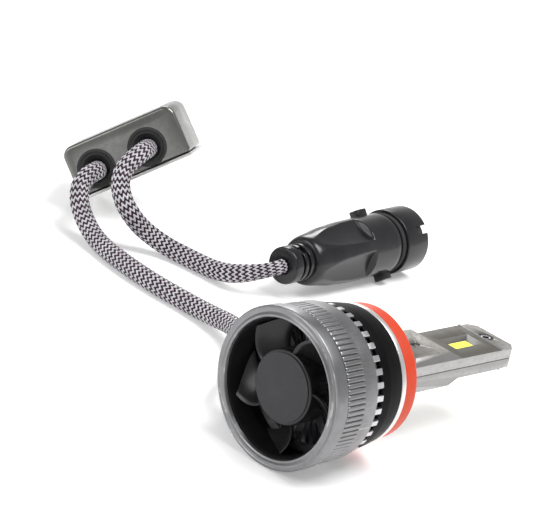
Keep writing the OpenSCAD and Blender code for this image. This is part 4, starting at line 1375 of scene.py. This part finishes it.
class HEADLIGHT_OT_driver_box(bpy.types.Operator):
    """Makes the driver box: rounded case, base plate and the grommets in its two cord holes"""

    bl_idname = "headlight.driver_box"
    bl_label = "Driver box"

    def execute(self, context):
        box = settings().box
        length, depth, height = [in_mm(v) for v in box.size]
        base_t, hole_r = in_mm(box.base_t), in_mm(box.hole_d) / 2
        made = piece("driver_case_shell", [with_finish(prism(
            self.outline(length / 2, height, in_mm(box.corner_r), base_t), 0, depth, "y"))],
            [box_grey(), bore_painted_shade(), base_silver()], ["driver_case"], IN_BOX)
        bevel(made, 1.0, 5, 50)
        settle(made)
        for face in made.data.polygons:
            face.material_index = 0
        wall = in_mm(box.wall)
        inside = self.outline(length / 2 - wall, height - 2 * wall, in_mm(box.corner_r) - wall,
                              base_t - wall - 1.5)
        cut(made, [prism(inside, wall, depth - wall, "y")], IN_BOX)
        for x in HOLE_X.values():
            cut(made, [prism(disc_outline(x, HOLE_Z, hole_r, 64), -2, wall + 2, "y")], IN_BOX)
        soften(made, 35)
        plate = piece("driver_base_plate", [with_finish(block(
            (-length / 2 + 0.1, 0.1, -height / 2), (length - 0.2, depth - 0.2, base_t - 0.25)))],
            [base_silver()], ["driver_base"], IN_BOX)
        bevel(plate, 0.18, 3)
        settle(plate)
        soften(plate, 35)
        for end, x in HOLE_X.items():
            self.grommet(end + "_grommet_ring", end + "_grommet", x, hole_r)
        return {"FINISHED"}

    def outline(self, w, height, r, base_t):
        """The case seen from the front, rounded along its top."""
        top, bottom = height / 2, -height / 2 + base_t
        points = [(-w, bottom)]
        points += [(-w + r + r * math.cos(a), top - r + r * math.sin(a))
                   for a in [math.pi - math.pi / 2 * k / 8 for k in range(9)]]
        points += [(w - r + r * math.cos(a), top - r + r * math.sin(a))
                   for a in [math.pi / 2 - math.pi / 2 * k / 8 for k in range(9)]]
        return points + [(w, bottom)]

    def grommet(self, name, node, x, r):
        """A rubber grommet with a raised lip, in the cord hole at x."""
        cord_r = in_mm(settings().cord.diameter) / 2
        rings = rounded([
            (2.0, cord_r - 0.3, 0), (2.0, r + 0.12, 0.1), (1.3, r + 0.12, 0.05), (1.25, r - 0.05, 0),
            (0.1, r - 0.05, 0.1), (-0.35, r - 0.05, 0.3), (-0.58, r - 0.65, 0.25), (-0.2, r - 1.2, 0.25),
            (-0.3, r - 1.65, 0.2), (0.5, r - 2.0, 0.3), (1.2, cord_r + 0.1, 0.3),
            (1.6, cord_r - 0.3, 0)], 5)
        vertices, faces, marks = lathe(rings, 72)
        stood = [Vector((x + v[1], v[0], HOLE_Z + v[2])) for v in vertices]
        piece(name, [(stood, faces, marks)], [rubber_black()], [node], IN_BOX,
              smooth=50)


# ---------- plug ----------


class HEADLIGHT_OT_plug(bpy.types.Operator):
    """Makes the plug: ringed boot, scooped body with two lugs, seal and end shell"""

    bl_idname = "headlight.plug"
    bl_label = "Plug"

    def execute(self, context):
        self.boot()
        self.body()
        self.end()
        return {"FINISHED"}

    # how far the nose stands inside the end shell, and the wall round the socket
    nose_step, socket_wall = 1.5, 1.2
    scoop_angles = [math.radians(a) for a in (20, 100, 200, 280)]
    lug_w = 3.6
    notch_l, notch_w = 4.5, 2.4

    def boot(self):
        """The cord's boot: three rings, the middle one with two slits."""
        r = in_mm(settings().plug.boot_d) / 2
        cord_r = 2.05
        outline = [(0.3, 0, 0), (0.3, cord_r, 0.1), (0.0, cord_r + 0.4, 0.2), (0.02, r - 0.1, 0.55),
                   (2.8, r, 0.3), (3.15, r - 0.35, 0.1), (3.2, r - 1.4, 0.1), (4.05, r - 1.4, 0.1),
                   (4.1, r - 0.25, 0.2), (5.3, r - 0.15, 0.2), (5.35, r - 1.4, 0.1),
                   (6.15, r - 1.4, 0.1), (6.2, r - 0.1, 0.2), (7.8, r, 0.2), (7.85, r - 1.2, 0.1),
                   (10, r - 1.2, 0), (10, 0, 0)]
        made = piece("plug_boot_rings", [lathe(rounded(outline), 96)], [plug_black()],
                     ["plug_boot"], IN_PLUG, smooth=40)
        for a in (20, 200):
            turn = IN_PLUG @ Matrix.Rotation(math.radians(a), 4, "X")
            cut(made, [block((3.9, -1.2, r - 1.0), (1.6, 2.4, 3))], turn)
        soften(made, 40)

    def body(self):
        """The body: scooped grip panels, a round barrel, the nose and the two lugs."""
        plug = settings().plug
        r = in_mm(plug.barrel_d) / 2
        end = in_mm(plug.length)
        x_shell = end - in_mm(plug.shell_len)
        nose = in_mm(plug.shell_d) / 2 - self.nose_step
        socket = nose - self.socket_wall
        grip_end = in_mm(plug.grip_end)
        ring = [(7.95, 0), (7.95, r - 3.0), (8.1, r - 2.55), (8.6, r - 2.1), (9.6, r - 1.75)]
        ring += [(10.4 + 0.6 * k, None) for k in range(24)]
        ring += [(grip_end - 2.4 + 0.2 * k, None) for k in range(16)]
        ring += [(grip_end + 1.5 + k, r) for k in range(9)]
        ring += [(x_shell - 3.1, r), (x_shell - 2.9, r - 0.05), (x_shell - 2.3, r - 0.35),
                 (x_shell - 1.75, r - 0.55), (x_shell - 1.6, r - 0.75), (x_shell - 1.6, nose),
                 (x_shell + 0.5, nose), (end - 0.7, nose), (end - 0.45, nose - 0.08),
                 (end - 0.4, nose - 0.3), (end - 0.4, socket + 0.2), (end - 0.5, socket),
                 (end - 12, socket), (end - 12, 0)]

        def barrel_r(x):
            """The body's radius at x before the scoops, growing from the boot."""
            spots = [(8.6, r - 2.1), (11, r - 1.5), (18, r - 0.5), (26, r), (40, r)]
            for (x0, r0), (x1, r1) in zip(spots, spots[1:]):
                if x <= x1:
                    t = (x - x0) / (x1 - x0)
                    return r0 + (r1 - r0) * (t * 0.7 + 0.3 * smooth_step(t))
            return r

        around = 180
        centre, scoop_r = r + 18.0, 19.7

        def scooped(x, a, plain):
            """The radius at x and angle a, less the scoop of the nearest grip panel."""
            best = plain
            for spot in self.scoop_angles:
                off = (a - spot + math.pi) % (2 * math.pi) - math.pi
                if abs(off) < math.asin(scoop_r / centre) and abs(off) < 1.2:
                    reach = centre * math.cos(off) - math.sqrt(
                        max(scoop_r ** 2 - (centre * math.sin(off)) ** 2, 0))
                    best = min(best, reach)
            hold = smooth_step((grip_end + 0.35 - x) / 0.7)
            return plain + (best - plain) * hold

        vertices, rows = [], []
        for x, radius in ring:
            if radius == 0:
                rows.append([len(vertices)])
                vertices.append((x, 0, 0))
                continue
            rows.append(list(range(len(vertices), len(vertices) + around)))
            for k in range(around):
                a = 2 * math.pi * k / around
                plain = barrel_r(x) if radius is None else radius
                rr = scooped(x, a, plain) if x < grip_end + 1 and plain > r - 3.2 else plain
                vertices.append((x, -rr * math.sin(a), rr * math.cos(a)))
        faces = []
        for i in range(len(rows) - 1):
            a, b = rows[i], rows[i + 1]
            for k in range(around):
                n = (k + 1) % around
                faces.append([a[k % len(a)]] + ([a[n]] if len(a) > 1 else [])
                             + ([b[n]] if len(b) > 1 else []) + [b[k % len(b)]])
        parts = [(vertices, faces, 0)]
        for i, lug_x in enumerate(LUG_X):
            turn = Matrix.Rotation(math.pi * i + plug.lug_turn, 3, "X")
            lug = self.soft_block((lug_x, -self.lug_w / 2, r - 0.8),
                                  (self.lug_w, self.lug_w, 2.6), 0.3)
            parts.append(([turn @ v for v in lug[0]], lug[1], 0))
        piece("plug_body_shell", parts, [plug_black()], ["plug_body"], IN_PLUG,
              smooth=38)

    def soft_block(self, corner, size, width):
        """A block with rounded edges."""
        shape = bmesh.new()
        middle = Vector(corner) + Vector(size) / 2
        bmesh.ops.create_cube(shape, size=1.0, matrix=Matrix.Translation(middle)
                              @ Matrix.Diagonal((*size, 1)))
        bmesh.ops.bevel(shape, geom=list(shape.edges), offset=width, segments=3, profile=0.5,
                        affect="EDGES")
        vertices = [v.co.copy() for v in shape.verts]
        faces = [[v.index for v in f.verts] for f in shape.faces]
        shape.free()
        return vertices, faces

    def end(self):
        """The end shell with its notch, and the seal behind it."""
        plug = settings().plug
        r, end = in_mm(plug.shell_d) / 2, in_mm(plug.length)
        x_shell = end - in_mm(plug.shell_len)
        nose = r - self.nose_step + SEAT_FIT
        shell = rounded([(x_shell, nose, 0), (x_shell, r, 0.35), (end, r, 0.45), (end, nose, 0.2)])
        made = piece("plug_end_shell", [lathe(shell, 144)], [plug_black()],
                     ["plug_shell"], IN_PLUG, smooth=40)
        turn = IN_PLUG @ Matrix.Rotation(plug.notch_turn, 4, "X")
        notch = block((end - self.notch_l, -self.notch_w / 2, nose - 1.0),
                      (self.notch_l + 1, self.notch_w, 4))
        cut(made, [notch], turn)
        soften(made, 40)
        seal = rounded([(x_shell - 1.55, nose, 0), (x_shell - 1.55, nose + 0.55, 0.2),
                        (x_shell - 0.8, nose + 0.75, 0.3), (x_shell - 0.05, nose + 0.55, 0.2),
                        (x_shell - 0.05, nose, 0)])
        piece("plug_seal_ring", [lathe(seal, 120)], [rubber_black()],
              ["plug_seal"], IN_PLUG)


class HEADLIGHT_OT_carried_nodes(bpy.types.Operator):
    """Gives each part that is shown as designed its own finish"""

    bl_idname = "headlight.carried_nodes"
    bl_label = "Finishes of the inner parts"

    def execute(self, context):
        for node, (name, colour, tint, rough, metal, grain) in NODE_FINISHES.items():
            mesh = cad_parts[node].data
            mesh.materials.clear()
            mesh.materials.append(material(name, colour, tint, rough, rough + 0.14, metal,
                                           grain=grain, bump=0.35, wear=0.25))
        return {"FINISHED"}


# ---------- panel and registration ----------

OPERATORS = [
    HEADLIGHT_OT_stage, HEADLIGHT_OT_cords, HEADLIGHT_OT_rear_ring, HEADLIGHT_OT_barrel,
    HEADLIGHT_OT_heat_sink, HEADLIGHT_OT_collar, HEADLIGHT_OT_stem, HEADLIGHT_OT_fan,
    HEADLIGHT_OT_gland, HEADLIGHT_OT_driver_box, HEADLIGHT_OT_plug, HEADLIGHT_OT_carried_nodes,
]


class HeadlightSettings(bpy.types.PropertyGroup):
    """All settings of the headlight bulb."""

    housing: bpy.props.PointerProperty(
        name="Housing", description="Sizes of the housing", type=HeadlightHousingSettings)
    stem: bpy.props.PointerProperty(
        name="Stem", description="Sizes of the stem", type=HeadlightStemSettings)
    fan: bpy.props.PointerProperty(
        name="Fan", description="Sizes of the fan", type=HeadlightFanSettings)
    box: bpy.props.PointerProperty(
        name="Driver box", description="Sizes of the driver box", type=HeadlightBoxSettings)
    plug: bpy.props.PointerProperty(
        name="Plug", description="Sizes of the plug", type=HeadlightPlugSettings)
    cord: bpy.props.PointerProperty(
        name="Cords", description="Sizes of the cords", type=HeadlightCordSettings)
    look: bpy.props.PointerProperty(
        name="Look", description="Colours and light", type=HeadlightLookSettings)


class HEADLIGHT_PT_panel(bpy.types.Panel):
    """Lists the settings and the steps that build the bulb"""

    bl_label = "Headlight bulb"
    bl_idname = "HEADLIGHT_PT_panel"
    bl_space_type = "VIEW_3D"
    bl_region_type = "UI"
    bl_category = "Headlight bulb"

    def draw(self, context):
        layout = self.layout
        values = context.scene.headlight
        for group in ("housing", "stem", "fan", "box", "plug", "cord", "look"):
            box = layout.box()
            box.label(text=group.capitalize())
            holder = getattr(values, group)
            for key in holder.bl_rna.properties.keys():
                if key not in {"rna_type", "name"}:
                    box.prop(holder, key)
        for step in OPERATORS:
            layout.operator(step.bl_idname)


CLASSES = [
    HeadlightHousingSettings, HeadlightStemSettings, HeadlightFanSettings, HeadlightBoxSettings,
    HeadlightPlugSettings, HeadlightCordSettings, HeadlightLookSettings, HeadlightSettings,
    *OPERATORS, HEADLIGHT_PT_panel,
]


def register():
    for kind in CLASSES:
        bpy.utils.register_class(kind)
    bpy.types.Scene.headlight = bpy.props.PointerProperty(type=HeadlightSettings)


def unregister():
    del bpy.types.Scene.headlight
    for kind in reversed(CLASSES):
        bpy.utils.unregister_class(kind)


def main():
    register()
    for step in OPERATORS:
        group, name = step.bl_idname.split(".")
        getattr(getattr(bpy.ops, group), name)()
    declare_cords()


if __name__ == "__main__":
    main()
